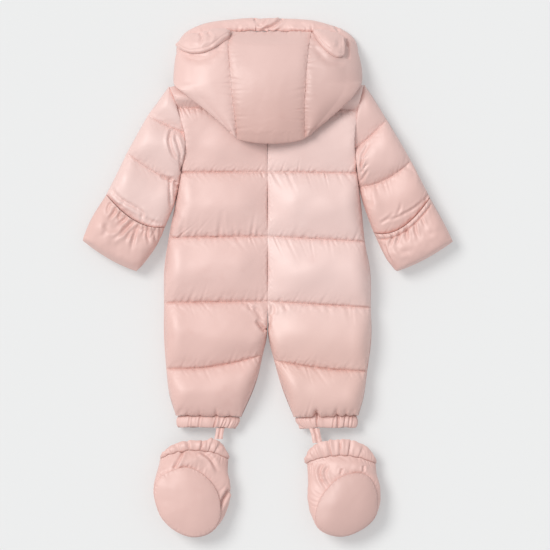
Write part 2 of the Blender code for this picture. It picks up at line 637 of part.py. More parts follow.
def hood_centre(name, left_rows, right_rows):
    shares = [0.0, 0.16, 0.38, 0.62, 0.84, 1.0]
    outer = []
    inner = []
    for t in hood_steps():
        left_out = hood_point(left_rows, t, 0.0, 0.0)
        right_out = hood_point(right_rows, t, 0.0, 0.0)
        left_in = hood_point(left_rows, t, 0.0, hood_wall)
        right_in = hood_point(right_rows, t, 0.0, hood_wall)
        if t == 0.0:
            for point in (left_out, right_out, left_in, right_in):
                point.z = 20.3
        gap = Vector((seam_gap / 2, 0, 0))
        outer_row = []
        inner_row = []
        for share in shares:
            crown = Vector((0, 0, hood_bulge * math.sin(math.pi * share) * min(t, 1.0)))
            outer_row.append((left_out + gap).lerp(right_out - gap, share) + crown)
            inner_row.append((left_in + gap).lerp(right_in - gap, share) + crown)
        outer.append(outer_row)
        inner.append(inner_row)
    start_left, start_right = outer[-1][0], outer[-1][-1]
    left_x, right_x = start_left.x, start_right.x
    turn = [(0.45, 0.92, 0.86), (0.85, 0.7, 0.62), (1.0, 0.4, 0.36), (0.86, 0.08, 0.3), (0.5, 0.0, 0.28)]
    for forward, high, high_in in turn:
        outer_row = []
        inner_row = []
        for share in shares:
            arch = 0.62 + 0.38 * math.sin(math.pi * share)
            x = left_x + (right_x - left_x) * share
            reach = (start_left.y - hood_end_y) * forward * arch
            low = hood_on_back + (start_left.z + hood_bulge * math.sin(math.pi * share) - hood_on_back) * high
            low_in = hood_on_back + hood_wall + (start_left.z - hood_wall * 2 - hood_on_back) * max(high_in - 0.28, 0.0)
            outer_row.append(Vector((x, start_left.y - reach, low)))
            inner_row.append(Vector((x, start_left.y - reach + hood_wall * (0.3 + 0.7 * forward), low_in)))
        outer.append(outer_row)
        inner.append(inner_row)
    for y in (255.0, neck_seam_y):
        narrow = 0.86 if y == neck_seam_y else 0.95
        middle = (left_x + right_x) / 2
        outer_row = []
        inner_row = []
        for share in shares:
            x = middle + (left_x + (right_x - left_x) * share - middle) * narrow
            outer_row.append(Vector((x, y, hood_on_back)))
            inner_row.append(Vector((x, y, hood_on_back + hood_wall)))
        outer.append(outer_row)
        inner.append(inner_row)
    return slab(name, outer, inner)


def rim(name):
    steps = [k * 0.5 for k in range(2 * (len(rim_points) - 1) + 1)]
    centre = Vector((0.0, 340.0))
    loops = []
    for t in steps:
        x, y, width, height = (curve(column(rim_points, key), t) for key in ("x", "y", "width", "height"))
        ahead = min(t + 0.05, steps[-1])
        behind = max(t - 0.05, 0.0)
        along = Vector((curve(column(rim_points, "x"), ahead) - curve(column(rim_points, "x"), behind),
                        curve(column(rim_points, "y"), ahead) - curve(column(rim_points, "y"), behind)))
        inward = Vector((along.y, -along.x)).normalized()
        if inward.dot(centre - Vector((x, y))) < 0:
            inward = -inward
        height = min(height, rim_height - seam_gap)
        loops.append([Vector((x + inward.x * width * d, y + inward.y * width * d, height * h)) for d, h in rim_section])
    count = len(rim_section)
    points = [point for loop in loops for point in loop]
    faces = grid_faces(lambda i, j: i * count + j, len(loops), count, wrap=True)
    faces.append(list(range(count)))
    faces.append([(len(loops) - 1) * count + j for j in range(count)])
    return add_object(name, points, faces)


def ear(name, hood_rows, ear_rows):
    """Padded flap lying on the side panel, sewn in at the rim seam."""
    depth_shares = [0.0, 0.12, 0.4, 0.7, 0.9, 1.0]
    outer = []
    inner = []
    last = len(ear_rows) - 1
    for i in range(2 * last + 1):
        across = curve(column(ear_rows, "across"), i / 2)
        reach = curve(column(ear_rows, "reach"), i / 2)
        end = bulge(min(i, 2 * last - i) / 3)
        top_row = []
        low_row = []
        for share in depth_shares:
            t = 0.16 + (reach - 0.04) * share
            point = hood_point(hood_rows, t, across, 0.0)
            along = hood_point(hood_rows, t + 0.02, across, 0.0) - hood_point(hood_rows, t - 0.02, across, 0.0)
            over = hood_point(hood_rows, t, across + 0.01, 0.0) - hood_point(hood_rows, t, across - 0.01, 0.0)
            up = along.cross(over).normalized()
            if up.z < 0:
                up = -up
            thick = 2.6 + (ear_padding - 2.6) * end * bulge((1 - share) / 0.6) * bulge(0.35 + share)
            low_row.append(point + up * ear_clearance)
            top_row.append(point + up * (ear_clearance + thick))
        outer.append(top_row)
        inner.append(low_row)
    return slab(name, outer, inner)


def bezier(a, b, c, d, f):
    g = 1 - f
    return a * g ** 3 + b * 3 * g * g * f + c * 3 * g * f * f + d * f ** 3


def ring_normals(rings, i, j):
    count = len(rings[0])
    ahead = rings[min(i + 1, len(rings) - 1)][j] - rings[max(i - 1, 0)][j]
    round_it = rings[i][(j + 1) % count] - rings[i][(j - 1) % count]
    normal = ahead.cross(round_it)
    return normal.normalized()


def sole_outline(points, angle):
    """Outline point and side bulge of the bootie at an angle round its sole."""
    count = len(points)
    t = (angle / (2 * math.pi) * count) % count
    i = int(t)
    wrapped = [points[(i + k - 1) % count] for k in range(4)]
    f = t - i
    values = []
    for name in ("x", "y", "bulge"):
        p0, p1, p2, p3 = (getattr(point, name) for point in wrapped)
        a = 2 * p0 - 5 * p1 + 4 * p2 - p3
        b = 3 * p1 - p0 - 3 * p2 + p3
        values.append(0.5 * (2 * p1 + (p2 - p0) * f + a * f * f + b * f ** 3))
    return values


def sole_height(y, points):
    ys = column(points, "y")
    share = (y - min(ys)) / (max(ys) - min(ys))
    return sole_height_toe + (sole_height_heel - sole_height_toe) * share


def ankle_ring(x, y, half, lean, count, half_height, inset=0.0):
    """Leaning oval ring; inset moves it inside along the same slanting plane."""
    ring = []
    for angle, px, pz in flat_ring(x, half - inset, ankle_centre_height, half_height - inset, count):
        pz = max(pz, 0.0)
        share = (pz - ankle_centre_height) / half_height
        ring.append(Vector((px, y + share * (lean if share > 0 else under_lean), pz)))
    return ring


def bootie_upper(name, bootie, outline):
    count = 28
    ankle = ankle_ring(bootie.seam_x, bootie.seam_y, bootie.seam_half, bootie.seam_lean, count, ankle_half_height)
    middle = sum((Vector((point.x, point.y)) for point in outline), Vector((0, 0))) / len(outline)
    rings = []
    for f in (0.0, 0.16, 0.34, 0.52, 0.7, 0.86, 1.0):
        ring = []
        for k in range(count):
            angle = 2 * math.pi * k / count
            x, y, side_bulge = sole_outline(outline, angle)
            start = ankle[k]
            away = (Vector((x, y)) - middle).normalized()
            finish = Vector((x, y, sole_height(y, outline)))
            heel = (1 + math.sin(angle)) / 2
            first = start.lerp(finish, 0.42)
            first.z = start.z * (1 - 0.5 * (1 - heel)) + 9 * heel
            second = finish + Vector((away.x * side_bulge * 1.7, away.y * side_bulge * 1.7, 0))
            second.z = finish.z - 30 * (1 - heel) ** 0.7 + 4 * heel
            point = bezier(start, first, second, finish, f)
            point.z = max(point.z, 0.0)
            ring.append(point)
        rings.append(ring)
    inside = []
    for i in range(len(rings)):
        ring = []
        for j in range(count):
            normal = ring_normals(rings, i, j)
            ring.append(rings[i][j] + normal * bootie_wall)
        inside.append(ring)
    centre = sum(rings[3], Vector((0, 0, 0))) / count
    if (inside[3][0] - centre).length > (rings[3][0] - centre).length:
        inside = [[rings[i][j] * 2 - inside[i][j] for j in range(count)] for i in range(len(rings))]
    for j in range(count):
        top = rings[-1][j]
        away = (Vector((top.x, top.y)) - middle).normalized() * bootie_wall
        inside[-1][j] = Vector((top.x - away.x, top.y - away.y, top.z - 0.2))
        inside[-2][j].z = min(inside[-2][j].z, top.z - 2.0)
    inside[0] = ankle_ring(bootie.seam_x, bootie.seam_y, bootie.seam_half, bootie.seam_lean, count,
                           ankle_half_height, bootie_wall)
    return tube(name, rings, inside)


def bootie_sole(name, outline):
    count = 28
    levels = [(0.985, 0.3), (0.985, 3.5), (0.93, 7.5), (0.75, 10.6), (0.4, 12.0)]
    centre = sum((Vector((point.x, point.y, 0)) for point in outline), Vector((0, 0, 0))) / len(outline)
    points = []
    for scale, rise in levels:
        for k in range(count):
            x, y, side_bulge = sole_outline(outline, 2 * math.pi * k / count)
            flat = centre.lerp(Vector((x, y, 0)), scale)
            flat.z = sole_height(y, outline) + rise * sole_padding / 12.0
            points.append(flat)
    faces = grid_faces(lambda i, j: i * count + j, len(levels), count, wrap=True)
    top = len(points)
    points.append(Vector((centre.x, centre.y, sole_height(centre.y, outline) + sole_padding)))
    points.append(Vector((centre.x, centre.y, sole_height(centre.y, outline) + seam_gap)))
    last = (len(levels) - 1) * count
    for k in range(count):
        faces.append((last + k, last + (k + 1) % count, top))
        faces.append((k, (k + 1) % count, top + 1))
    return add_object(name, points, faces)


def bootie_cuff(name, bootie):
    count = 72
    outer = []
    inner = []
    for f, widen in ((0.0, 0.0), (0.4, 2.0), (1.0, -1.0)):
        x = bootie.seam_x + (bootie.edge_x - bootie.seam_x) * f
        y = bootie.seam_y + 1.2 + (bootie.edge_y - bootie.seam_y) * f
        half = bootie.seam_half + (bootie.edge_half - bootie.seam_half) * f
        lean = bootie.seam_lean + (bootie.edge_lean - bootie.seam_lean) * f
        half_height = ankle_half_height - 2.0 * f
        ring = ankle_ring(x, y, half + widen, lean, count, half_height + widen * 0.5)
        middle = Vector((x, y, ankle_centre_height))
        outer_ring = []
        for k, point in enumerate(ring):
            angle = 2 * math.pi * k / count
            on_top = max(0.0, math.sin(angle) + 0.3) / 1.3
            wave = gather_depth * math.sin(angle * bootie_cuff_gathers * 2) * on_top
            away = (point - middle).normalized()
            moved = point + away * wave
            moved.z = max(moved.z, 0.0)
            outer_ring.append(moved)
        outer.append(outer_ring)
        inner.append(ankle_ring(x, y, half + widen, lean, count, half_height, cuff_wall + gather_depth))
    return tube(name, outer, inner)


def strap(name, points):
    loops = []
    shape = [(-1.0, 0.0), (-0.45, 1.3), (0.05, -0.6), (0.5, 1.0), (1.0, 0.0)]
    for k in range(5):
        t = k / 2
        x, y, z, half = (curve(column(points, key), t) for key in ("x", "y", "z", "half_width"))
        top = [Vector((x + half * across, y, z + strap_thickness + up)) for across, up in shape]
        low = [Vector((x + half * across, y, z + up)) for across, up in reversed(shape)]
        loops.append(top + low)
    count = len(loops[0])
    mesh_points = [point for loop in loops for point in loop]
    faces = grid_faces(lambda i, j: i * count + j, len(loops), count, wrap=True)
    faces.append(list(range(count)))
    faces.append([(len(loops) - 1) * count + j for j in range(count)])
    return add_object(name, mesh_points, faces)


def front_zip(name):
    top = seam_height - seam_gap / 2
    points = []
    for z in (top - zip_thickness, top):
        for x, y in ((-zip_half_width, -37.0), (zip_half_width, -37.0), (zip_half_width, 300.0), (-zip_half_width, 300.0)):
            points.append(Vector((x, y, z)))
    faces = [(0, 1, 2, 3), (4, 5, 6, 7), (0, 1, 5, 4), (1, 2, 6, 5), (2, 3, 7, 6), (3, 0, 4, 7)]
    return add_object(name, points, faces, zip_pink, 0.6)


def centre_on_origin(objects):
    """Moves the whole suit so the origin is under the middle of its bounding box."""
    corners = [vertex.co for made in objects for vertex in made.data.vertices]
    middle = Vector(((min(c.x for c in corners) + max(c.x for c in corners)) / 2,
                     (min(c.y for c in corners) + max(c.y for c in corners)) / 2,
                     min(c.z for c in corners)))
    for made in objects:
        for vertex in made.data.vertices:
            vertex.co -= middle
        made.data.update()


def build():
    for old in list(bpy.data.objects):
        bpy.data.objects.remove(old)
    made = [back_panel("back_left", back_left_rows), back_panel("back_right", back_right_rows)]
    made.append(front_panel("front_left", back_left_rows, -1))
    made.append(front_panel("front_right", back_right_rows, 1))
    made.append(front_zip("front_zip"))
    for side, sign, sleeve_rows, body_rows, flap_rows in (
            ("left", -1, sleeve_left_rows, back_left_rows, flap_left_rows),
            ("right", 1, sleeve_right_rows, back_right_rows, flap_right_rows)):
        rows = fix_armhole(sleeve_rows, body_rows, sign)
        made.append(sleeve_back("sleeve_back_" + side, rows))
        made.append(sleeve_front("sleeve_front_" + side, rows, flap_rows))
        made.append(mitten_flap("mitten_flap_" + side, flap_rows))
        made.append(leg_cuff("leg_cuff_" + side, body_rows))
    made.append(hood_centre("hood_centre", hood_left_rows, hood_right_rows))
    made.append(hood_side("hood_side_left", hood_left_rows, -1))
    made.append(hood_side("hood_side_right", hood_right_rows, 1))
    made.append(rim("hood_rim"))
    made.append(ear("ear_left", hood_left_rows, ear_left_rows))
    made.append(ear("ear_right", hood_right_rows, ear_right_rows))
    for bootie, outline, strap_points in ((booties[0], sole_left, strap_left), (booties[1], sole_right, strap_right)):
        made.append(bootie_upper("bootie_upper_" + bootie.side, bootie, outline))
        made.append(bootie_sole("bootie_sole_" + bootie.side, outline))
        made.append(bootie_cuff("bootie_cuff_" + bootie.side, bootie))
        made.append(strap("strap_" + bootie.side, strap_points))
    centre_on_origin(made)


build()
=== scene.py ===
import math
import bpy
import numpy as np
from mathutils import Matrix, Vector


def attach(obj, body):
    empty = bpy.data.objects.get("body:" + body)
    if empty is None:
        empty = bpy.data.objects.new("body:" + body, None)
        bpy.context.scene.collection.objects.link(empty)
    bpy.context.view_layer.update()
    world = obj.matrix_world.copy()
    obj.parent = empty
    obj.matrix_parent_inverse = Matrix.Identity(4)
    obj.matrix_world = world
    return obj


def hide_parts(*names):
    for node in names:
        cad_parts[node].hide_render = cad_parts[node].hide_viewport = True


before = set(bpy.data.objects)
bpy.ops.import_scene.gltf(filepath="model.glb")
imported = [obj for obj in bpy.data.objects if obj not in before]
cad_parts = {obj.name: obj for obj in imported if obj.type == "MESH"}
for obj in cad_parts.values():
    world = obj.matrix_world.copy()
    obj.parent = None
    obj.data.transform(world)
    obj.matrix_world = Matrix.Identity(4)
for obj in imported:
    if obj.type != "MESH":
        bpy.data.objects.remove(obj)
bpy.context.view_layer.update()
mm = 0.001
drawnMiddle = np.array((0.35, 1.15, 0.0))      # middle of the suit in the tables, which are in mm
print("frame loaded:", len(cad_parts), "nodes")

seam = {"height": 22.0, "gap": 0.3, "stitched": 0.12, "rounding": 27.0}      # side seams, where front and back meet
backLow = seam["height"] + seam["gap"] / 2      # underside of the back halves
frontTop = seam["height"] - seam["gap"] / 2      # upper side of the front halves
sides = ("left", "right")
outward = {"left": -1, "right": 1}

# ---- camera, light and floor
studio = {
    "view": (11.7, 4.2), "span": 0.891,
    "keyAngle": 27, "keyFrom": (-0.62, 0.43, 1), "keyStrength": 1.78, "keyColour": (1, 0.985, 0.965),
    "skyStrength": 0.69, "skyColour": (0.965, 0.985, 1),
    "horizon": (0.8, 0.81, 0.82), "below": (0.55, 0.55, 0.56), "cameraHeight": 1.5,
    "floorColour": (0.545, 0.549, 0.549, 1), "floorGlow": 0.25, "floorHalf": 3, "floorLow": -0.0004,
}


class Wire:      # a socket's value; maths on it adds the nodes
    def __init__(self, shader, socket):
        self.shader = shader
        self.socket = socket

    def _maths(self, kind, first, second):
        return self.shader.add("ShaderNodeMath", {"operation": kind}, {0: first, 1: second})

    def __add__(self, other): return self._maths("ADD", self, other)
    def __radd__(self, other): return self._maths("ADD", other, self)
    def __sub__(self, other): return self._maths("SUBTRACT", self, other)
    def __mul__(self, other): return self._maths("MULTIPLY", self, other)


class Shader:      # a material or world, with one way to add any node
    def __init__(self, owner):
        owner.use_nodes = True
        self.tree = owner.node_tree
        self.tree.nodes.clear()

    def add(self, kind, settings=None, sockets=None, out=0):
        node = self.tree.nodes.new(kind)
        for name, value in (settings or {}).items():
            if name == "stops":
                ramp = node.color_ramp
                while len(ramp.elements) < len(value):
                    ramp.elements.new(0.5)
                for element, (place, colour) in zip(ramp.elements, value):
                    element.position = place
                    element.color = colour
            else:
                setattr(node, name, value)
        for key, value in (sockets or {}).items():
            if isinstance(value, Wire):
                self.tree.links.new(value.socket, node.inputs[key])
            else:
                node.inputs[key].default_value = value
        return Wire(self, node.outputs[out]) if len(node.outputs) else None


def buildStudio():
    scene = bpy.context.scene
    scene.view_settings.view_transform = "Standard"
    camera = bpy.data.objects.new("camera", bpy.data.cameras.new("camera"))
    camera.data.type = "ORTHO"
    camera.data.ortho_scale = studio["span"]
    camera.location = (studio["view"][0] * mm, studio["view"][1] * mm, studio["cameraHeight"])
    scene.collection.objects.link(camera)
    scene.camera = camera
    key = bpy.data.objects.new("key", bpy.data.lights.new("key", "SUN"))
    key.data.angle = math.radians(studio["keyAngle"])
    key.data.energy = studio["keyStrength"]
    key.data.color = studio["keyColour"]
    key.rotation_euler = Vector(studio["keyFrom"]).to_track_quat("Z", "Y").to_euler()
    scene.collection.objects.link(key)
    world = bpy.data.worlds.new("studio")
    scene.world = world
    sky = Shader(world)
    direction = sky.add("ShaderNodeTexCoord", out=0)
    up = sky.add("ShaderNodeSeparateXYZ", {}, {0: direction}, out=2)
    stops = [(place, studio[tone] + (1,)) for place, tone in ((0.0, "below"), (0.5, "horizon"), (1.0, "skyColour"))]
    glow = sky.add("ShaderNodeValToRGB", {"stops": stops}, {0: up * 0.5 + 0.5})
    light = sky.add("ShaderNodeBackground", {}, {"Color": glow, "Strength": studio["skyStrength"]})
    sky.add("ShaderNodeOutputWorld", {}, {"Surface": light})
    mesh = bpy.data.meshes.new("floor")
    far, low = studio["floorHalf"], studio["floorLow"]
    mesh.from_pydata([(-far, -far, low), (far, -far, low), (far, far, low), (-far, far, low)], [], [(0, 1, 2, 3)])
    floor = bpy.data.objects.new("floor", mesh)
    scene.collection.objects.link(floor)
    paper = bpy.data.materials.new("floorPaper")
    shader = Shader(paper)
    grain = shader.add("ShaderNodeTexNoise", {}, {"Scale": 400.0, "Detail": 3.0}, out=0)
    bump = shader.add("ShaderNodeBump", {}, {"Strength": 0.04, "Distance": 0.0002, "Height": grain})
    surface = shader.add("ShaderNodeBsdfPrincipled", {}, {
        "Base Color": studio["floorColour"], "Roughness": 0.85, "Normal": bump,
        "Emission Color": (1, 1, 1, 1), "Emission Strength": studio["floorGlow"]})
    shader.add("ShaderNodeOutputMaterial", {}, {"Surface": surface})
    mesh.materials.append(paper)
    print("studio ready")


buildStudio()

# ---- cloth
nylon = {
    "colour": (0.778, 0.524, 0.480, 1), "deep": (0.743, 0.480, 0.437, 1), "light": (0.803, 0.558, 0.515, 1),
    "roughness": 0.50, "gloss": 0.9, "weave": 0.00042, "weaveDepth": 0.00002,
    "lower": (0.955, 0.915, 0.90, 1),      # painted shade: the lower parts are painted a little deeper, as if less light reached them
}


def nylonMaterial(name, shade=1.0, roughness=nylon["roughness"], paintedSheen=0.0, paintedShadeHeights=(0.04, -0.12),
                  lower=nylon["lower"]):      # lit and shaded copies of one cloth: a paler panel is painted sheen, a darker shade is painted shade (own tone for thread and zip teeth), and a painted shade tint darkens everything below the given heights
    made = bpy.data.materials.new(name)
    shader = Shader(made)
    place = shader.add("ShaderNodeTexCoord", out=3)
    broad, cloudy = (
        shader.add("ShaderNodeTexNoise", {}, {"Vector": place, "Scale": scale, "Detail": detail, "Roughness": rough})
        for scale, detail, rough in ((9.0, 2.0, 0.5), (60.0, 3.0, 0.55)))
    tone = broad * 0.6 + cloudy * 0.4
    # the paler share mixes the colour towards white: painted sheen
    stops = [(at, tuple((c + (1 - c) * paintedSheen) * shade for c in nylon[key][:3]) + (1.0,))
             for at, key in ((0.25, "deep"), (0.42, "colour"), (0.58, "colour"), (0.8, "light"))]
    colour = shader.add("ShaderNodeValToRGB", {"stops": stops}, {0: tone})
    # painted shade: below the given heights the colour is multiplied by the lower tint
    height = shader.add("ShaderNodeSeparateXYZ", {}, {0: place}, out=1)
    share = shader.add("ShaderNodeMapRange", {"interpolation_type": "SMOOTHSTEP"},
                       {0: height, 1: paintedShadeHeights[1], 2: paintedShadeHeights[0], 3: 1.0, 4: 0.0})
    tint = shader.add("ShaderNodeMix", {"data_type": "RGBA"}, {0: share, 6: (1.0, 1.0, 1.0, 1.0), 7: lower}, out=2)
    colour = shader.add("ShaderNodeMix", {"data_type": "RGBA", "blend_type": "MULTIPLY"},
                        {0: 1.0, 6: colour, 7: tint}, out=2)
    turns = math.pi * 2 / nylon["weave"] / 20 / math.pi
    warp, weft = (
        shader.add("ShaderNodeTexWave", {"wave_type": "BANDS", "bands_direction": direction},
                   {"Vector": place, "Scale": turns, "Distortion": 0.6, "Detail": 1.0}, out=1) for direction in "XY")
    weave = shader.add("ShaderNodeBump", {}, {"Strength": 0.35, "Distance": nylon["weaveDepth"], "Height": warp + weft})
    crumple = shader.add("ShaderNodeTexNoise", {}, {
        "Vector": place, "Scale": 140.0, "Detail": 4.0, "Roughness": 0.6, "Distortion": 0.8})
    creases = shader.add("ShaderNodeBump", {}, {
        "Strength": 0.12, "Distance": 0.0004, "Height": crumple, "Normal": weave})
    gloss = roughness + (cloudy - 0.5) * 0.12
    surface = shader.add("ShaderNodeBsdfPrincipled", {}, {
        "Base Color": colour, "Roughness": gloss, "Specular IOR Level": nylon["gloss"],
        "Sheen Weight": 0.12, "Sheen Roughness": 0.4, "Normal": creases})
    shader.add("ShaderNodeOutputMaterial", {}, {"Surface": surface})
    return made


# painted shade: the plain cloth is painted darker towards the legs
satin = nylonMaterial("satin_nylon")
# painted sheen: the right back and the left sleeve are painted paler and whiter, with stronger painted shade towards
# the legs
satinPaintedSheen = nylonMaterial("satin_nylon_painted_sheen", paintedSheen=0.10, paintedShadeHeights=(0.01, -0.14), lower=(0.93, 0.855, 0.82, 1.0))
# painted shade on the lower part of the right sleeve and on the mitten flaps
sleevePaintedShade = nylonMaterial("satin_nylon_sleeve", paintedShadeHeights=(0.21, 0.12))
# painted shade: the right sole is painted darker
satinPaintedShade = nylonMaterial("satin_nylon_painted_shade", 0.905)
# painted shade: the hood centre is painted darker, more so towards its lower end
hoodPaintedShade = nylonMaterial("satin_nylon_hood", 0.945, paintedShadeHeights=(0.37, 0.23), lower=(0.88, 0.81, 0.785, 1.0))
# painted shade: the hood's right side is painted darker, more so towards its lower end
hoodSidePaintedShade = nylonMaterial("satin_nylon_hood_side", 0.88, paintedShadeHeights=(0.37, 0.23), lower=(0.89, 0.82, 0.80, 1.0))
stitchThread = nylonMaterial("stitch_thread", 0.8, 0.6)


# ---- shaping helpers: a grid is an array (rows, columns, 3) in mm
def between(p0, p1, p2, p3, f):      # smooth curve from p1 to p2
    bend, twist = 2 * p0 - 5 * p1 + 4 * p2 - p3, 3 * p1 - p0 - 3 * p2 + p3
    return 0.5 * (2 * p1 + (p2 - p0) * f + bend * f * f + twist * f ** 3)


def spline(values, t):
    v = np.asarray(values, float)
    last = len(v) - 1
    i = np.clip(t.astype(int), 0, last - 1)
    f = t - i
    p1, p2 = v[i], v[i + 1]
    p0 = np.where(i > 0, v[np.maximum(i - 1, 0)], 2 * p1 - p2)
    p3 = np.where(i < last - 1, v[np.minimum(i + 2, last)], 2 * p2 - p1)
    return between(p0, p1, p2, p3, f)


def straight(values, t):
    return np.interp(t, range(len(values)), values)


def columnOf(rows, k):
    return [row[k] for row in rows]


def roundOff(share):
    share = np.clip(share, 0.0, 1.0)
    return np.sqrt(np.clip(1 - (1 - share) ** 2, 0.0, 1.0))


def bell(off, width):
    return np.exp(-(off / width) ** 2)


def crowded(count, crowd):      # shares 0..1, closer together towards both ends
    even = np.linspace(0, 1, count)
    return even * (1 - crowd) + (1 - np.cos(even * math.pi)) / 2 * crowd


def finer(grid):      # twice as many rows and columns, along smooth curves
    for axis in (0, 1):
        g = np.moveaxis(grid, axis, 0)
        before = np.concatenate((2 * g[:1] - g[1:2], g[:-2]))
        after = np.concatenate((g[2:], 2 * g[-1:] - g[-2:-1]))
        middle = (9 * (g[:-1] + g[1:]) - before - after) / 16
        made = np.empty((2 * len(g) - 1,) + g.shape[1:])
        made[::2] = g
        made[1::2] = middle
        grid = np.moveaxis(made, 0, axis)
    return grid


def normalsOf(grid):
    down = np.gradient(grid, axis=0)
    across = np.gradient(grid, axis=1)
    n = np.cross(across, down)
    n /= np.maximum(np.linalg.norm(n, axis=2, keepdims=True), 1e-9)
    return np.where(n[..., 2:].mean() < 0, -n, n)


def ripple(x, y, size, seed, waves=16):      # smooth uneven relief, about -1..1
    rng = np.random.default_rng(seed)
    total = np.zeros(np.shape(x))
    for _ in range(waves):
        turn = rng.uniform(0, 2 * math.pi)
        length = size * rng.uniform(0.7, 1.7)
        phase = (x * math.cos(turn) + y * math.sin(turn)) * 2 * math.pi / length
        total += np.sin(phase + rng.uniform(0, 2 * math.pi))
    return total / math.sqrt(waves) * 0.8


def uneven(grid, *reliefs):      # a relief: height, size, seed
    return sum(high * ripple(grid[..., 0], grid[..., 1], size, seed) for high, size, seed in reliefs)


def fromPath(x, y, path):      # distance, signed side and share along for points near a drawn line
    best = np.full(np.shape(x), 1e9)
    side = np.zeros(np.shape(x))
    share = np.zeros(np.shape(x))
    lengths = [math.dist(path[k], path[k + 1]) for k in range(len(path) - 1)]
    total, done = sum(lengths), 0.0
    for k, length in enumerate(lengths):
        ax, ay = path[k]
        dx, dy = path[k + 1][0] - ax, path[k + 1][1] - ay
        s = np.clip(((x - ax) * dx + (y - ay) * dy) / (length * length), 0, 1)
        px, py = x - ax - dx * s, y - ay - dy * s
        away = np.hypot(px, py)
        near = away < best
        best = np.where(near, away, best)
        side = np.where(near, np.sign(dx * py - dy * px), side)
        share = np.where(near, (done + length * s) / total, share)
        done += length
    return best, side, share


def curved(path):      # a drawn line as a smooth curve through its points
    k = np.linspace(0, len(path) - 1, 14)
    return list(zip(spline(columnOf(path, 0), k), spline(columnOf(path, 1), k)))


def easedEnds(share, fadeIn, fadeOut):
    ends = np.clip(share / max(fadeIn, 1e-3), 0, 1) * np.clip((1 - share) / max(fadeOut, 1e-3), 0, 1)
    return np.sin(ends * math.pi / 2)


# a fold: path, width, depth, ridge on its left and right, and maybe the fades at its start and end
def foldRelief(fold, x, y, seed=None):      # its trough and ridges, and how strong they are along it
    path, width, depth, left, right, *fades = fold
    away, side, share = fromPath(x, y, curved(path))
    if seed is not None:      # no fold is quite straight
        away = np.maximum(away + 0.16 * width * ripple(x, y, 12.0, seed), 0.0) * (away > 0)
    move = -depth * bell(away, width) + np.where(side > 0, left, right) * bell(away - width * 1.9, width)
    return move, easedEnds(share, *(fades or (0.3, 0.3)))


def pressed(grid, folds):
    x, y = grid[..., 0], grid[..., 1]
    up = normalsOf(grid) * 0.6 + (0.0, 0.0, 0.4)
    for number, fold in enumerate(folds):
        move, strength = foldRelief(fold, x, y, 700 + number)
        grid = grid + up * (move * strength)[..., None]
    return grid


def puckered(grid, along, away, seed, spacing, depth, reach, width, slant, up=None, tilt=0.0):
    # short uneven gathers that start at a seam and die away from it
    rng = np.random.default_rng(seed)
    low, high = float(along.min()), float(along.max())
    place = low + rng.uniform(0, spacing)
    move = np.zeros(along.shape)
    while place < high:
        strong = rng.uniform(0.15, 1.0) ** 1.4
        w = width * rng.uniform(0.6, 1.5)
        length = reach * rng.uniform(0.35, 1.6)
        lean = rng.normal(tilt, slant)
        off = (along - place - lean * away) / w
        fade = np.exp(-(away / length) ** 1.5)
        move -= depth * strong * np.exp(-off ** 2) * fade
        move += depth * strong * 0.55 * (np.exp(-(off - 2.1) ** 2) + np.exp(-(off + 2.1) ** 2)) * fade
        place += spacing * rng.uniform(0.35, 1.9)
    if up is None:
        up = normalsOf(grid)
    return grid + up * move[..., None]


def gridFaces(index, wrap=False):
    if wrap:
        index = np.concatenate((index, index[:, :1]), axis=1)
    return np.stack((index[:-1, :-1], index[:-1, 1:], index[1:, 1:], index[1:, :-1]), axis=-1).reshape(-1, 4).tolist()


# ---- cloth simulation: each sheet is held along its seams and filled from below
fill = {"frames": 14, "pressure": 5.0, "vertexMass": 0.0005, "bend": 0.012, "stretch": 15.0, "quality": 2,
        "shear": 3.0, "jitter": 0.12, "easing": 26, "nearSeam": 0.45, "seamReach": 3.5, "inMiddle": 0.06}
waiting = []


def startSheet(name, grid, held, excess, cap, seed):
    rows, columns = grid.shape[:2]
    rng = np.random.default_rng(seed)
    start = grid.copy()
    start[..., 2] += rng.normal(0, fill["jitter"], start.shape[:2]) * (1 - held)
    index = np.arange(rows * columns).reshape(rows, columns)
    facingUp = np.cross(grid[0, 1] - grid[0, 0], grid[1, 0] - grid[0, 0])[2] > 0
    rim = list(index[0]) + list(index[1:, -1]) + list(index[-1, -2::-1]) + list(index[-2:0:-1, 0])
    polygons = gridFaces(index) + [rim[::-1]]
    if not facingUp:
        polygons = [face[::-1] for face in polygons]
    mesh = bpy.data.meshes.new(name + "_sheet")
    mesh.from_pydata((start * mm).reshape(-1, 3).tolist(), [], [[int(i) for i in face] for face in polygons])
    piece = bpy.data.objects.new(name + "_sheet", mesh)
    bpy.context.scene.collection.objects.link(piece)
    group = piece.vertex_groups.new(name="held")
    group.add([int(i) for i in np.nonzero(held.reshape(-1) > 0.99)[0]], 1.0, "REPLACE")
    cloth = piece.modifiers.new("Cloth", "CLOTH")
    settings = cloth.settings
    settings.quality = fill["quality"]
    settings.mass = fill["vertexMass"]
    settings.tension_stiffness = fill["stretch"]
    settings.compression_stiffness = fill["stretch"]
    settings.shear_stiffness = fill["shear"]
    settings.bending_stiffness = fill["bend"]
    settings.use_pressure = True
    settings.uniform_pressure_force = fill["pressure"]
    settings.shrink_min = -excess
    settings.vertex_group_mass = "held"
    settings.effector_weights.gravity = 0.0
    cloth.collision_settings.use_collision = False
    cloth.point_cache.frame_start = 1
    cloth.point_cache.frame_end = fill["frames"]
    waiting.append((piece, grid, cap, held))


def smoothed(field, passes):      # soft average along both directions, borders stay
    for _ in range(passes):
        padded = np.pad(field, ((1, 1), (0, 0), (0, 0)), mode="edge")
        field = field * 0.5 + (padded[:-2] + padded[2:]) * 0.25
        padded = np.pad(field, ((0, 0), (1, 1), (0, 0)), mode="edge")
        field = field * 0.5 + (padded[:, :-2] + padded[:, 2:]) * 0.25
    return field


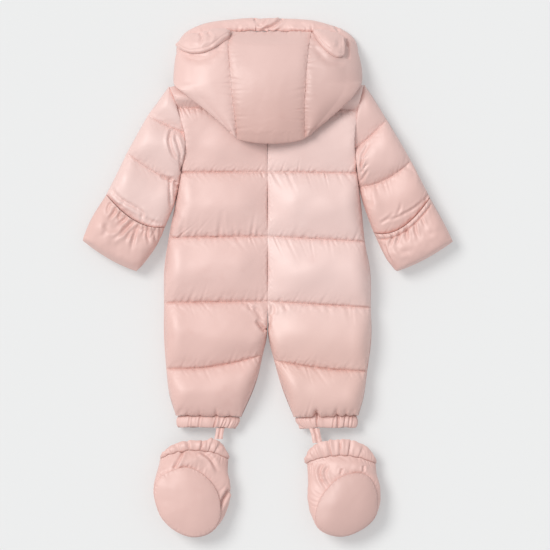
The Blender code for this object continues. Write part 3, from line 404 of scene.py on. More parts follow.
def fromHeld(held, reach=14):      # how many cells away the next held point is
    away = np.where(held > 0.5, 0.0, float(reach))
    for _ in range(reach):
        for axis in (0, 1):
            for step in (1, -1):
                near = np.roll(away, step, axis=axis) + 1
                edge = [slice(None)] * 2
                edge[axis] = 0 if step == 1 else -1
                near[tuple(edge)] = reach
                away = np.minimum(away, near)
    return away


def settleSheets():      # steps all sheets together and returns their settled grids
    for step in range(1, fill["frames"] + 1):
        bpy.context.scene.frame_set(step)
    graph = bpy.context.evaluated_depsgraph_get()
    settled = []
    for piece, grid, cap, held in waiting:
        mesh = piece.evaluated_get(graph).data
        points = np.empty(len(mesh.vertices) * 3, np.float32)
        mesh.vertices.foreach_get("co", points)
        moved = points.reshape(grid.shape) / mm - grid
        length = np.linalg.norm(moved, axis=2, keepdims=True)
        moved *= cap * np.tanh(length / cap) / np.maximum(length, 1e-6)
        # gathers stay near the seams, and the full middle is taut
        broad = smoothed(moved, fill["easing"])
        near = fill["nearSeam"] * np.exp(-(fromHeld(held) / fill["seamReach"]) ** 2) + fill["inMiddle"]
        settled.append(grid + broad + (moved - broad) * near[..., None])
    for piece, *_ in waiting:
        sheet = piece.data
        bpy.data.objects.remove(piece)
        bpy.data.meshes.remove(sheet)
    return settled


# ---- making and naming pieces
def addPiece(name, points, faces, material, node=None, smooth=True, sharp=55):
    mesh = bpy.data.meshes.new(name)
    mesh.from_pydata(((np.asarray(points) - drawnMiddle) * mm).tolist(), [], [[int(i) for i in face] for face in faces])
    mesh.validate()
    mesh.update()
    if smooth:
        mesh.shade_smooth()
        mesh.set_sharp_from_angle(angle=math.radians(sharp))
    mesh.materials.append(material)
    piece = bpy.data.objects.new(name, mesh)
    bpy.context.scene.collection.objects.link(piece)
    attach(piece, "root")
    if node:
        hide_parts(node)
    return piece


def outwards(points, faces):      # turns all faces round where the body would be inside out
    p = np.asarray(points)
    volume = 0.0
    for face in faces:
        a = p[face[0]]
        for k in range(1, len(face) - 1):
            volume += np.dot(a, np.cross(p[face[k]], p[face[k + 1]]))
    return [list(face)[::-1] for face in faces] if volume < 0 else faces


def shell(node, outer, inner, material, flatRows=0, name=None):      # closed body between two grids of equal size
    rows, columns = outer.shape[:2]
    used = np.ones((rows, columns), bool)
    if flatRows:
        used[1:flatRows, 1:-1] = False
    top = np.arange(rows * columns).reshape(rows, columns)
    low = np.full((rows, columns), -1)
    low[used] = rows * columns + np.arange(used.sum())
    points = np.concatenate((outer.reshape(-1, 3), inner[used]))
    faces = gridFaces(top)
    if flatRows:
        faces.append(list(low[0]) + list(low[1:flatRows + 1, -1]) + list(low[flatRows, -2::-1])
                     + list(low[flatRows - 1:0:-1, 0]))
    faces += [face[::-1] for face in gridFaces(low[flatRows:])] if flatRows < rows - 1 else []
    for j in (0, columns - 1):
        side = np.stack((top[:-1, j], top[1:, j], low[1:, j], low[:-1, j]), axis=-1).tolist()
        faces += side if j == 0 else [face[::-1] for face in side]
    for i in (0, rows - 1):
        side = np.stack((top[i, :-1], low[i, :-1], low[i, 1:], top[i, 1:]), axis=-1).tolist()
        faces += side if i == 0 else [face[::-1] for face in side]
    return addPiece(name or node + "_cloth", points, outwards(points, faces), material, node)


def tube(node, rings, material):      # closed ring of ring sections: outer ones, then inner ones back
    rings = np.asarray(rings)
    count = rings.shape[1]
    index = np.arange(len(rings) * count).reshape(len(rings), count)
    index = np.concatenate((index, index[:1]))
    points = rings.reshape(-1, 3)
    return addPiece(node + "_cloth", points, outwards(points, gridFaces(index, wrap=True)), material, node)


def endedBody(rings):      # points and faces of rings with an end face at both ends
    index = np.arange(len(rings) * len(rings[0])).reshape(len(rings), -1)
    return list(np.reshape(rings, (-1, 3))), gridFaces(index, wrap=True) + [list(index[0])[::-1], list(index[-1])]


def ended(node, rings, material):
    points, faces = endedBody(rings)
    return addPiece(node + "_cloth", points, outwards(points, faces), material, node)


# ---- body: rows from shoulder to ankle, quilt lines on the even ones
# a row: outer x, outer y, inner x, inner y, sag, height, share of height left at the outer and inner end
body = {
    "left": [
        (-158.7, 309.3, -0.05, 300.7, 15, 8, 0.86, 0.72), (-151.5, 292.5, -0.05, 289, 4, 24, 0.93, 0.72),
        (-146.7, 276.4, -0.05, 276.4, 0, 13, 0.94, 0.90), (-133.6, 224.5, -0.05, 224.5, 0, 25.5, 0.90, 0.72),
        (-139.7, 171.9, -0.05, 172.7, 0, 13, 0.70, 0.90), (-149.8, 119.2, -0.05, 119.5, 0, 34, 0.14, 0.72),
        (-160, 66.3, -0.05, 68.2, 0, 14, 0.18, 0.90), (-167.3, 13.9, -0.05, 14.8, 0, 34, 0.10, 0.72),
        (-167.6, -39.5, -0.05, -37.1, 0, 14, 0.18, 0.90), (-167.6, -93, -0.60, -86.5, -3, 33, 0.10, 0.40),
        (-164, -146.1, -7.70, -123.8, -7.3, 13, 0.18, 0.18), (-159.2, -187, -19.80, -172.4, -3, 30, 0.10, 0.12),
        (-148.5, -222.5, -42.50, -224.5, 0, 10, 0.30, 0.30)],
    "right": [
        (155.6, 312.5, 0.05, 300.7, 15, 8, 0.86, 0.72), (150.6, 291, 0.05, 289, 4, 24, 0.93, 0.72),
        (146.4, 272.6, 0.05, 275, 0, 13, 0.94, 0.90), (141.5, 224.5, 0.05, 224.5, 0, 25.5, 0.90, 0.72),
        (145.4, 170.4, 0.05, 172.7, 0, 13, 0.70, 0.90), (152, 116, 0.05, 119.5, 0, 34, 0.14, 0.72),
        (157.5, 59.8, 0.05, 68.2, 0, 14, 0.18, 0.90), (166.5, 9.1, 0.05, 14.8, 0, 34, 0.10, 0.72),
        (167.3, -47, 0.05, -37.1, 0, 14, 0.18, 0.90), (168, -97.8, 0.40, -86.5, -3, 33, 0.10, 0.40),
        (161.3, -150.5, 10.60, -133, -3.5, 13, 0.18, 0.18), (155.6, -191.8, 24.00, -178.8, -2, 30, 0.10, 0.12),
        (147, -222.5, 42.50, -225, 0, 10, 0.30, 0.30)],
    "step": 2.9, "columns": 58, "excess": 0.035, "cap": 6.0, "arch": 4.8, "seamLow": 0.46, "seamRound": 50.0,
    "zipHalf": 6.0, "mouthStart": 10.6, "mouthDepth": 12.5,
}
sleeves = {
    "left": [
        (-159.6, 311, -157.90, 306.8, 0, 7, 0.45, 0.90), (-177, 286.9, -150.00, 268.3, 0, 22, 0.12, 0.93),
        (-194, 263.4, -140.00, 236.5, -2, 11, 0.20, 0.94), (-211.8, 232.6, -135.00, 203.5, -3, 27, 0.10, 0.86),
        (-227.5, 203.5, -142.40, 155, -6, 11, 0.20, 0.20), (-246.6, 164.6, -148.90, 124.6, -8, 25, 0.10, 0.12),
        (-261.2, 135.9, -166.00, 83.1, -16.5, 12, 0.20, 0.20)],
    "right": [
        (156.9, 313.6, 158.00, 308, 0, 7, 0.45, 0.90), (174.6, 286.9, 150.00, 260.2, 0, 22, 0.12, 0.93),
        (193.2, 256.9, 142.00, 209.9, -2, 11, 0.20, 0.94), (213.4, 223.7, 145.00, 180.8, -3, 27, 0.10, 0.86),
        (232.1, 190.5, 147.80, 148.4, -9.4, 11, 0.20, 0.20), (249.1, 158.1, 156.60, 115, -10, 25, 0.10, 0.12),
        (262.8, 130.9, 172.10, 73.9, -20, 12, 0.20, 0.20)],
    "armholeEnd": 158.0, "step": 2.7, "columns": 36, "arch": 1.5, "excess": 0.035, "cap": 4.5,
}
flaps = {
    "left": [
        (-261.5, 135.3, -166.40, 82.5, -16.5, 21, 0.25, 0.25), (-269.3, 121.7, -171.30, 70.6, -13, 18, 0.20, 0.20),
        (-285.5, 96.6, -182.70, 48, -9, 25, 0.12, 0.12), (-296.8, 70.6, -201.30, 22.8, -6, 19, 0.12, 0.12),
        (-299.3, 60.9, -212.60, 11.5, -5.3, 3, 0.80, 0.80)],
    "right": [
        (263.1, 130.3, 172.40, 73.3, -20, 19.5, 0.25, 0.25), (269.3, 118.4, 179.40, 59.3, -16.5, 20.5, 0.20, 0.20),
        (285.5, 90.1, 190.80, 35, -10, 25, 0.12, 0.12), (296.8, 67.4, 204.50, 15.6, -6, 19, 0.12, 0.12),
        (300, 59.3, 210.50, 11.5, -4.4, 3, 0.80, 0.80)],
    "rows": 44, "columns": 120, "wall": 1.6, "rowsFromEdge": (0, 14.5, 44.2, 68.7, 76.7),
    "casing": {"groove": 10.5, "middle": 5.0, "pleatsTo": 105.0},
    "gathers": {"spacing": 7.5, "depth": 1.0, "width": 1.4, "slant": 0.25}, "gatherReach": {"left": 8.0, "right": 17.0},
}


def rowEnds(rows, t):
    outer = np.stack((spline(columnOf(rows, 0), t), spline(columnOf(rows, 1), t)), axis=-1)
    inner = np.stack((spline(columnOf(rows, 2), t), spline(columnOf(rows, 3), t)), axis=-1)
    side = math.copysign(1.0, rows[0][0])
    inner[:, 0] = side * np.maximum(side * inner[:, 0], seam["stitched"] / 2)
    return outer, inner


def rowSteps(rows, step):
    steps = []
    for i in range(len(rows) - 1):
        a, b = rows[i], rows[i + 1]
        length = (math.dist(a[:2], b[:2]) + math.dist(a[2:4], b[2:4])) / 2
        count = max(3, round(length / step))
        steps += [i + k / count for k in range(count)]
    return np.array(steps + [len(rows) - 1.0])


def fullness(t):      # 0 on a quilt line, 1 in the middle of a channel
    i = np.minimum(t.astype(int), int(t.max()) - 1 if t.max() > 1 else 0)
    f = np.where(i % 2 == 0, t - i, 1 - (t - i))
    return np.sin(np.clip(f, 0, 1) * math.pi / 2) ** 0.8


def channelHeight(rows, t):
    heights = np.array(columnOf(rows, 5))
    i = np.minimum(t.astype(int), len(rows) - 2)
    line = np.where(i % 2 == 0, heights[i], heights[i + 1])
    crest = np.where(i % 2 == 0, heights[i + 1], heights[i])
    return line + (crest - line) * fullness(t)


def planGrid(rows, t, shares, side=None):
    outer, inner = rowEnds(rows, t)
    if side:      # a sleeve's inner end follows the armhole seam
        seamX = armholeX(inner[:, 1], side) + outward[side] * seam["stitched"]
        upper = np.clip((inner[:, 1] - sleeves["armholeEnd"]) / 6.0, 0, 1)
        inner[:, 0] = inner[:, 0] * (1 - upper) + seamX * upper
    u = shares[None, :, None]
    grid = np.zeros((len(t), len(shares), 3))
    grid[..., :2] = outer[:, None] + (inner - outer)[:, None] * u
    grid[..., 1] += spline(columnOf(rows, 4), t)[:, None] * 4 * shares[None] * (1 - shares[None])
    width = np.linalg.norm(inner - outer, axis=1)
    return grid, width


def softEdge(share):      # round at the edge, and it runs into the flat without a break
    share = np.clip(share, 0.0, 1.0)
    return (1 - (1 - share) ** 2.7) ** 0.56


def edgeShape(rows, t, shares, width, softIn=None):
    outEdge, inEdge = straight(columnOf(rows, 6), t)[:, None], straight(columnOf(rows, 7), t)[:, None]
    outWidth, inWidth = (
        np.minimum((seam["rounding"] * 1.2 - edge * 20) / width[:, None], 0.5) for edge in (outEdge, inEdge))
    fromOut = outEdge + (1 - outEdge) * softEdge(shares[None] / outWidth)
    fromIn = inEdge + (1 - inEdge) * softEdge((1 - shares[None]) / inWidth)
    if softIn is not None:      # the centre seam, where the padding falls away slowly
        low, reach, share = softIn
        reached = np.clip((1 - shares[None]) * width[:, None] / reach, 0, 1)
        wide = low[:, None] + (1 - low[:, None]) * np.sin(reached * math.pi / 2) ** 0.75
        fromIn = fromIn * (1 - share[:, None]) + wide * share[:, None]
    return fromOut, fromIn


def paddedTop(rows, t, shares, arch, softIn=None, side=None):
    grid, width = planGrid(rows, t, shares, side)
    fromOut, fromIn = edgeShape(rows, t, shares, width, softIn)
    height = channelHeight(rows, t)[:, None] * fromOut * fromIn
    height += arch * fullness(t)[:, None] * (1 - (2 * shares[None] - 1) ** 2)
    grid[..., 2] = backLow + height
    return grid


def offLine(t):      # 0 on a quilt line, 0.5 in the middle of a channel
    return np.abs(t / 2 - np.round(t / 2))


def heldPoints(shape, rows):      # 1 on the given rows and along both side edges
    held = np.zeros(shape)
    held[rows] = 1.0
    held[:, [0, -1]] = 1.0
    return held


def heldLines(t, shares):
    held = heldPoints((len(t), len(shares)), offLine(t) < 1e-6)
    held[[0, -1]] = 1.0
    return held


def armholeX(y, side):
    t = np.linspace(0, 5, 400)
    outer, _ = rowEnds(body[side], t)
    order = np.argsort(outer[:, 1])
    return np.interp(y, outer[order, 1], outer[order, 0])


def sleeveRows(side):      # upper rows end just outside the body's armhole seam
    return [row[:2] + (float(armholeX(row[3], side)) + outward[side] * seam["gap"],) + row[3:]
            if row[3] > sleeves["armholeEnd"] else row for row in sleeves[side]]


paddedParts = {}
for side in sides:
    t = rowSteps(body[side], body["step"])
    shares = crowded(body["columns"], 0.35)
    low = body["seamLow"] + (0.86 - body["seamLow"]) * (1 - fullness(t))
    grid = paddedTop(body[side], t, shares, body["arch"], (low, body["seamRound"], np.clip(9.4 - t, 0, 1)))
    paddedParts["back_" + side] = {"t": t, "shares": shares, "grid": grid, "held": heldLines(t, shares)}
    rows = sleeveRows(side)
    t = rowSteps(rows, sleeves["step"])
    shares = crowded(sleeves["columns"], 0.35)
    grid = paddedTop(rows, t, shares, sleeves["arch"], side=side)
    paddedParts["sleeve_back_" + side] = {"t": t, "shares": shares, "grid": grid, "held": heldLines(t, shares)}
print("panels laid out")


# ---- hood: rows from the rim seam down to the point on the back
# a row: seam x, seam y, edge x, edge y, sag, height
hood = {
    "left": [
        (-57.9, 400.1, -141, 380, 10, 26), (-63.6, 380.1, -147.8, 362.2, 4, 50),
        (-61.8, 349.3, -150.6, 342.8, 0, 65), (-59.5, 323.5, -151.9, 321.5, 0, 72),
        (-58.7, 311.2, -149.8, 312, 0, 73.5), (-56, 287.7, -135, 298.8, 0, 73),
        (-52.6, 256.9, -97.2, 269.2, 0, 71.5), (-50.1, 232.6, -61.2, 237.5, 0, 66.5)],
    "right": [
        (70.9, 400.1, 140.5, 381.7, 6, 26), (67.1, 378, 146.7, 365.5, 3, 50),
        (63.9, 348, 151.6, 342.8, 0, 65), (62, 323.5, 152.7, 321.7, 0, 72),
        (61.5, 311.2, 149.9, 312, 0, 73.5), (60, 285.5, 136.2, 291.8, 0, 73),
        (59.7, 255.9, 104.2, 261.4, 0, 71.5), (60.7, 232.6, 73.3, 235.9, 0, 66.5)],
    "wall": 7.0, "rounding": 76.0, "bulge": 9.0, "endY": 218.0, "onBack": 50.3, "neckY": 297.0,
    "step": 3.2, "columns": 34, "centreColumns": 44, "excess": 0.025, "cap": 4.0, "standsOff": 11.5, "steeper": 0.36,
    "atRim": 20.3, "climb": 30.0, "puff": 4.0,
    "nearRim": [0.0, 0.03, 0.08, 0.15, 0.23, 0.31, 0.4, 0.5, 0.6, 0.7, 0.8, 0.9],
}


def hoodSurface(rows, t, shares, inset):
    t = np.asarray(t, float)
    t2 = t[:, None] * np.ones((1, len(shares)))
    u = shares[None] * np.ones((len(t), 1))
    seamX, seamY, edgeX, edgeY, sag, height = (spline(columnOf(rows, k), t2) for k in range(6))
    crown = np.polyval(np.polyfit(columnOf(rows, 1)[1:], columnOf(rows, 5)[1:], 4), seamY)
    taken = np.clip((t2 - 0.5) / 1.3, 0, 1)
    height += (crown - height) * taken * taken * (3 - 2 * taken)
    lifted = np.clip((t2 - 1.8) / 3.2, 0, 1)
    rest = hood["atRim"] + hood["climb"] * lifted * lifted * (3 - 2 * lifted)
    off = np.clip((t2 - 3.0) / 2.0, 0, 1)      # the lower edge stands off the back
    off = off * off * (3 - 2 * off)
    rest += hood["standsOff"] * off
    width = np.hypot(edgeX - seamX, edgeY - seamY)
    inside = np.minimum(u, 1 - inset / width * u)
    x = seamX + (edgeX - seamX) * inside
    y = seamY + (edgeY - seamY) * inside + sag * 4 * u * (1 - u) - inset * np.maximum(0.0, 1 - t2 / 0.9)
    puff = hood["puff"] * np.sin(math.pi * np.minimum(u * 1.4, 1.0)) * np.minimum(t2, 1.0)
    rounding = hood["rounding"] * (1 - hood["steeper"] * off * (rows[0][0] > 0))      # steeper on the right
    rise = softEdge((1 - u) / np.minimum(rounding / width, 1.0))
    z = rest + (height - inset + puff - rest) * rise
    z = np.where(t2 == 0.0, hood["atRim"], z)
    return np.stack((x, y, z), axis=-1)


def hoodSteps():
    steps = list(hood["nearRim"])
    rows = hood["left"]
    for i in range(1, len(rows) - 1):
        length = math.dist(rows[i][:2], rows[i + 1][:2])
        count = max(3, round(length / hood["step"]))
        steps += [i + k / count for k in range(count)]
    return np.array(steps + [len(rows) - 1.0])


hoodT = hoodSteps()
for side in sides:
    shares = crowded(hood["columns"], 0.5)
    grid = hoodSurface(hood[side], hoodT, shares, 0.0)
    inner = hoodSurface(hood[side], hoodT, shares, hood["wall"])
    for g in (grid, inner):
        g[..., 0] += outward[side] * seam["gap"] / 2 * (1 - shares[None])
    held = heldPoints(grid.shape[:2], [0, 1, -1])
    paddedParts["hood_side_" + side] = {"t": hoodT, "shares": shares, "grid": grid, "inner": inner, "held": held}


def hoodCentreGrid(inset):
    shares = crowded(hood["centreColumns"], 0.4)
    left, right = (
        hoodSurface(hood[side], hoodT, np.array([0.0]), inset)[:, 0] - outward[side] * np.array((seam["gap"] / 2, 0, 0))
        for side in sides)
    grid = left[:, None] + (right - left)[:, None] * shares[None, :, None]
    grid[..., 2] += hood["bulge"] * np.sin(math.pi * shares)[None] * np.minimum(hoodT, 1.0)[:, None]
    return grid, shares


grid, shares = hoodCentreGrid(0.0)
inner, _ = hoodCentreGrid(hood["wall"])
held = heldPoints(grid.shape[:2], [0, 1, -1])
paddedParts["hood_centre"] = {"t": hoodT, "shares": shares, "grid": grid, "inner": inner, "held": held}

# ---- padded panels settle together
settings = {"back": body, "sleeve": sleeves, "hood": hood}
for number, (name, part) in enumerate(paddedParts.items()):
    own = settings[name.split("_")[0]]
    startSheet(name, part["grid"], part["held"], own["excess"], own["cap"], 11 + number)
for part, settled in zip(paddedParts.values(), settleSheets()):
    part["grid"] = settled
print("padding settled:", len(paddedParts), "panels")


# ---- body panels
def underside(grid, z):
    low = grid.copy()
    low[..., 2] = z
    return low


def refined(part):      # a settled panel with twice the rows and columns
    grid = finer(part["grid"])
    t = np.interp(np.arange(len(grid)) / 2, np.arange(len(part["t"])), part["t"])
    shares = np.interp(np.arange(grid.shape[1]) / 2, np.arange(len(part["shares"])), part["shares"])
    return grid, t, shares


def inChannels(t, shares, edge):      # 0 on the seams, 1 inside a channel
    return roundOff(np.minimum(shares, 1 - shares)[None] / edge) * np.minimum(1, offLine(t) * 6)[:, None]


# gathers beside the quilt lines; (line, 1 below it or -1 above it): depth, reach, spacing, slant
def seamPuckers(grid, t, seed, gathers):
    along = grid[..., 0].copy()
    for (line, sign), (depth, reach, spacing, slant) in gathers.items():
        row = np.argmin(np.abs(t - line))
        away = -sign * (grid[..., 1] - grid[row, :, 1][None])
        rows = np.nonzero(((away >= 0) & (away < reach * 2.6)).any(axis=1))[0]
        if len(rows) < 3:
            continue
        part = slice(rows[0], rows[-1] + 1)
        beside = np.clip(away[part], 0, None)
        move = puckered(grid[part], along[part], beside, seed + line * 2 + (sign > 0), spacing=spacing, depth=depth,
                        reach=reach, width=spacing * 0.19, slant=slant * 0.6, tilt=0.45) - grid[part]
        grid[part] += move * ((away[part] > 0) * np.clip(beside / 1.5, 0, 1))[..., None]
    return grid


bodyFolds = {
    "left": [
        ([(-19, -67), (-12, -75), (-2, -85)], 3.4, 8, 0.3, 1, 0.5, 0.04),
        ([(-24, -44), (-14, -57), (-7, -72)], 4.2, 2.8, 0.8, 0.6),
        ([(-31, -41), (-26, -52)], 3.4, 1.6, 0.7, 0.7),
        ([(-159, 119), (-150, 105), (-146, 88)], 5, 1.4, 0.6, 0.6),
    ],
    "right": [
        ([(6.5, -41), (8.5, -50), (8, -60)], 3, 2.6, 0.6, 1.4),
        ([(26, -39), (31, -54)], 3, 1.6, 0.6, 0.6),
        ([(3, -48), (2.5, -66), (2, -84)], 3.4, 3, 0.4, 1.2),
        ([(152, 190), (147, 180), (144, 170)], 4, 3.5, 1, 1),
        ([(160.5, -128), (161.5, -139), (161, -149)], 1.6, 2.2, 0.8, 0.8),
        ([(159.5, -152), (158.5, -166)], 1.6, 1.8, 0.6, 0.6),
    ],
}
bodyGathers = {
    "left": {
        (2, -1): (1.2, 7, 7, 0.3), (2, 1): (1.5, 9, 8, 0.5), (4, -1): (1.3, 8, 8, 0.3), (4, 1): (1.3, 8, 6.5, 0.3),
        (6, -1): (2.3, 16, 12, 0.6), (6, 1): (1.5, 10, 11, 0.4), (8, -1): (1.6, 12, 13, 0.4),
        (8, 1): (1.4, 12, 12, 0.3), (10, -1): (1.2, 10, 12, 0.3), (10, 1): (1.3, 11, 12, 0.3),
        (12, -1): (1, 12, 15, 0.4)},
    "right": {
        (2, -1): (1.1, 7, 8, 0.3), (2, 1): (1.3, 9, 8, 0.4), (4, -1): (1.6, 9, 9, 0.3), (4, 1): (2.4, 14, 10, 0.3),
        (6, -1): (1.5, 9, 12, 0.4), (6, 1): (2.3, 14, 11, 0.3), (8, -1): (1.5, 10, 12, 0.4),
        (8, 1): (1.4, 11, 13, 0.5), (10, -1): (1.1, 9, 12, 0.3), (10, 1): (1.3, 11, 13, 0.3),
        (12, -1): (1.1, 12, 15, 0.4)},
}
hemTucks = {      # notches where the hem is drawn up over the leg cuff: middle, half width, depth
    "left": [(-83.5, 4.5, 3.6), (-110, 5, 1.6), (-130, 5, 1.4), (-61, 5, 1.6)],
    "right": [(79, 7, 8.5), (112, 5.5, 4), (127, 5, 2.6), (96, 6, 1), (140, 4, 1.6)],
}


def hemWave(x, side):
    wave = np.zeros(np.shape(x))
    for middle, half, depth in hemTucks[side]:
        wave += depth * np.clip(1 - np.abs(x - middle) / half, 0, 1) ** 1.2
    return wave


def flankSeams(grid, t, lines):      # the quilt lines run on, pulled in tight, over the rounded outer side
    for line in lines:
        row = np.argmin(np.abs(t - line))
        off = grid[..., 1] - grid[row, :, 1][None]
        fromSide = np.abs(grid[row, :, 0] - grid[row, 0, 0])[None]
        grid[..., 2] -= (0.4 + 3.0 * bell(fromSide, 13.0)) * bell(off, 1.6)
    return grid


for number, side in enumerate(sides):
    part = paddedParts["back_" + side]
    grid, t, shares = refined(part)
    grid = seamPuckers(grid, t, 100 + 40 * number, bodyGathers[side])
    grid = flankSeams(pressed(grid, bodyFolds[side]), t, (4, 6, 8, 10))
    grid[..., 2] += inChannels(t, shares, 0.08) * uneven(grid, (0.8, 60.0, 5 + number), (0.10, 22.0, 15 + number))
    fromHem = np.linalg.norm(grid[-1:, :, :2] - grid[..., :2], axis=2)
    drawnUp = hemWave(grid[..., 0], side)
    grid[..., 1] += drawnUp * bell(fromHem, 9.0)
    grid[..., 2] -= 0.35 * drawnUp * bell(fromHem - 5.0, 7.0)
    grid[..., 2] = np.maximum(grid[..., 2], backLow + 2.0)
    piece = shell("back_" + side, grid, underside(grid, backLow), satin if side == "left" else satinPaintedSheen,
                  len(grid) - 1, "back_panel_" + side)
    part["finished"], part["finishedT"] = grid, t
print("back panels made")


def frontGrid(rows, t, shares, deep, relief, side=None):      # lower side of a front half, from the side seam down
    grid, width = planGrid(rows, t, shares, side)
    fromOut, fromIn = edgeShape(rows, t, shares, width)
    full = fromOut * fromIn
    full = full * (1 - 0.16 * bell(offLine(t), 0.10)[:, None] * (1 - full))
    grid[..., 2] = frontTop - np.maximum(frontTop * deep[:, None] * full, 3.0)
    grid[..., 2] += (full < 0.97) * 0.5 * ripple(grid[..., 0], grid[..., 1], *relief)
    grid[..., 2] = np.maximum(grid[..., 2], 0.0)
    return grid


for number, side in enumerate(sides):
    rows = []
    for i, row in enumerate(body[side]):
        innerX = outward[side] * (body["zipHalf"] + seam["gap"] if i < 9 else 0.6) if i < 10 else row[2]
        rows.append(row[:2] + (innerX,) + row[3:7] + (0.2 if i < 9 else row[7],))
    t = rowSteps(rows, 5.0)
    shares = crowded(54, 0.8)
    grid = frontGrid(rows, t, shares, np.minimum(0.5 + t, 1.0), (21.0, 31 + number))
    inner = grid.copy()
    lens = 1 - (2 * shares[None] - 1) ** 4
    opened = np.clip((t - body["mouthStart"]) * 1.5 / (12 - body["mouthStart"]), 0, 1)[:, None]
    inner[..., 2] = frontTop - body["mouthDepth"] * lens * np.sin(opened * math.pi / 2)
    flat = int(np.nonzero(t <= body["mouthStart"])[0][-1])
    piece = shell("front_" + side, grid, inner, satin, flat, "front_panel_" + side)
print("front panels made")

# ---- sleeves
sleeveGathers = {(2, -1): (0.6, 6, 8, 0.4), (2, 1): (0.9, 8, 8, 0.4), (4, -1): (0.9, 7, 8, 0.4),
                 (4, 1): (1.3, 10, 8, 0.5), (6, -1): (1, 9, 7, 0.5)}
sleeveFolds = {
    "left": [
        ([(-149, 241), (-156.5, 237), (-159, 222), (-153, 201), (-141, 188)], 2.8, 3.2, 1, 1.8, 0.25, 0.2),
        ([(-150, 234), (-146, 220), (-142, 206), (-138.5, 194)], 2.5, 2.6, 1.2, 0.8, 0.3, 0.3),
        ([(-142.5, 201), (-141, 188), (-139.5, 172)], 2.2, 3.2, 0.8, 0.6, 0.3, 0.1),
        ([(-158.5, 163), (-158, 142), (-156.5, 112)], 2.4, 3.6, 1.4, 0.2, 0.15, 0.3),
        ([(-152, 158), (-152, 138), (-154, 118)], 5.5, 2.6, 0, 0, 0.3, 0.4),
        ([(-174, 168), (-163, 162), (-151, 161)], 2.8, 2.6, 1, 0.8, 0.4, 0.1),
        ([(-152, 158), (-146, 151), (-141, 147)], 2.6, 2.4, 0.8, 0.8),
        ([(-256, 147), (-245, 134.5), (-231, 123.5), (-217, 116), (-205, 108)], 3, 3.2, 0.3, 1.8, 0.4, 0.2),
        ([(-251, 148), (-249.5, 141), (-252, 134)], 2.6, 1.3, 0.6, 0.4, 0.3, 0.2),
        ([(-236, 131), (-233.5, 123), (-239, 115)], 3, 1.2, 0.4, 0.5, 0.4, 0.2),
        ([(-208, 112), (-203, 106), (-204, 98)], 2.8, 2.8, 1.2, 1, 0.4, 0.1),
        ([(-198, 99), (-188, 91.5), (-175, 88)], 3.2, 1.8, 0.6, 0.8),
    ],
    "right": [
        ([(166, 221), (155.5, 203), (151.5, 186), (152.5, 169)], 2.2, 2.4, 0.9, 1.1, 0.4, 0.2),
        ([(161, 198), (154, 190), (150, 179)], 1.9, 1.8, 0.8, 0.7, 0.4, 0.2),
        ([(165, 186), (157, 180), (152.5, 170)], 2, 1.7, 0.8, 0.7, 0.5, 0.2),
        ([(163, 176), (157, 166), (151, 157)], 2.3, 2.4, 0.7, 0.7, 0.4, 0.1),
        ([(158, 146), (165, 132), (168, 112)], 4.5, 1.6, 0.4, 0.4),
        ([(258, 134), (245, 119), (228, 108), (208, 98), (186, 92)], 2.4, 2.4, 0.3, 0.8, 0.4, 0.4),
        ([(216, 124), (214.5, 112), (208, 101)], 2.2, 1.5, 0.5, 0.3, 0.5, 0.2),
        ([(205, 106), (196, 98), (182, 88)], 2.4, 1.6, 0.6, 0.6, 0.5, 0.2),
        ([(261, 141), (257.5, 133), (255, 126)], 1.8, 2.4, 0.8, 0.6, 0.3, 0.1),
    ],
}
for number, side in enumerate(sides):
    part = paddedParts["sleeve_back_" + side]
    grid, t, shares = refined(part)
    grid = pressed(seamPuckers(grid, t, 300 + 40 * number, sleeveGathers), sleeveFolds[side])
    grid[..., 2] += inChannels(t, shares, 0.1) * uneven(grid, (0.7, 50.0, 45 + number), (0.12, 20.0, 47 + number))
    grid[..., 2] = np.maximum(grid[..., 2], backLow + 2.0)
    piece = shell("sleeve_back_" + side, grid, underside(grid, backLow), satinPaintedSheen if side == "left" else sleevePaintedShade,
                  len(grid) - 1)
    part["finished"], part["finishedT"] = grid, t

    rows = sleeveRows(side)[:-1] + [flaps[side][0], flaps[side][2], flaps[side][4]]
    t = rowSteps(rows, 4.5)
    shares = crowded(36, 0.8)
    rows = [row[:6] + (min(row[6], 0.45), min(row[7], 0.45)) for row in rows]
    deep = np.minimum(np.minimum(0.4 + t, 1.0), 0.35 + (len(rows) - 1 - t) * 0.9)
    grid = frontGrid(rows, t, shares, deep, (19.0, 51 + number), side)
    piece = shell("sleeve_front_" + side, grid, underside(grid, frontTop), satin, len(grid) - 1)
print("sleeves made")

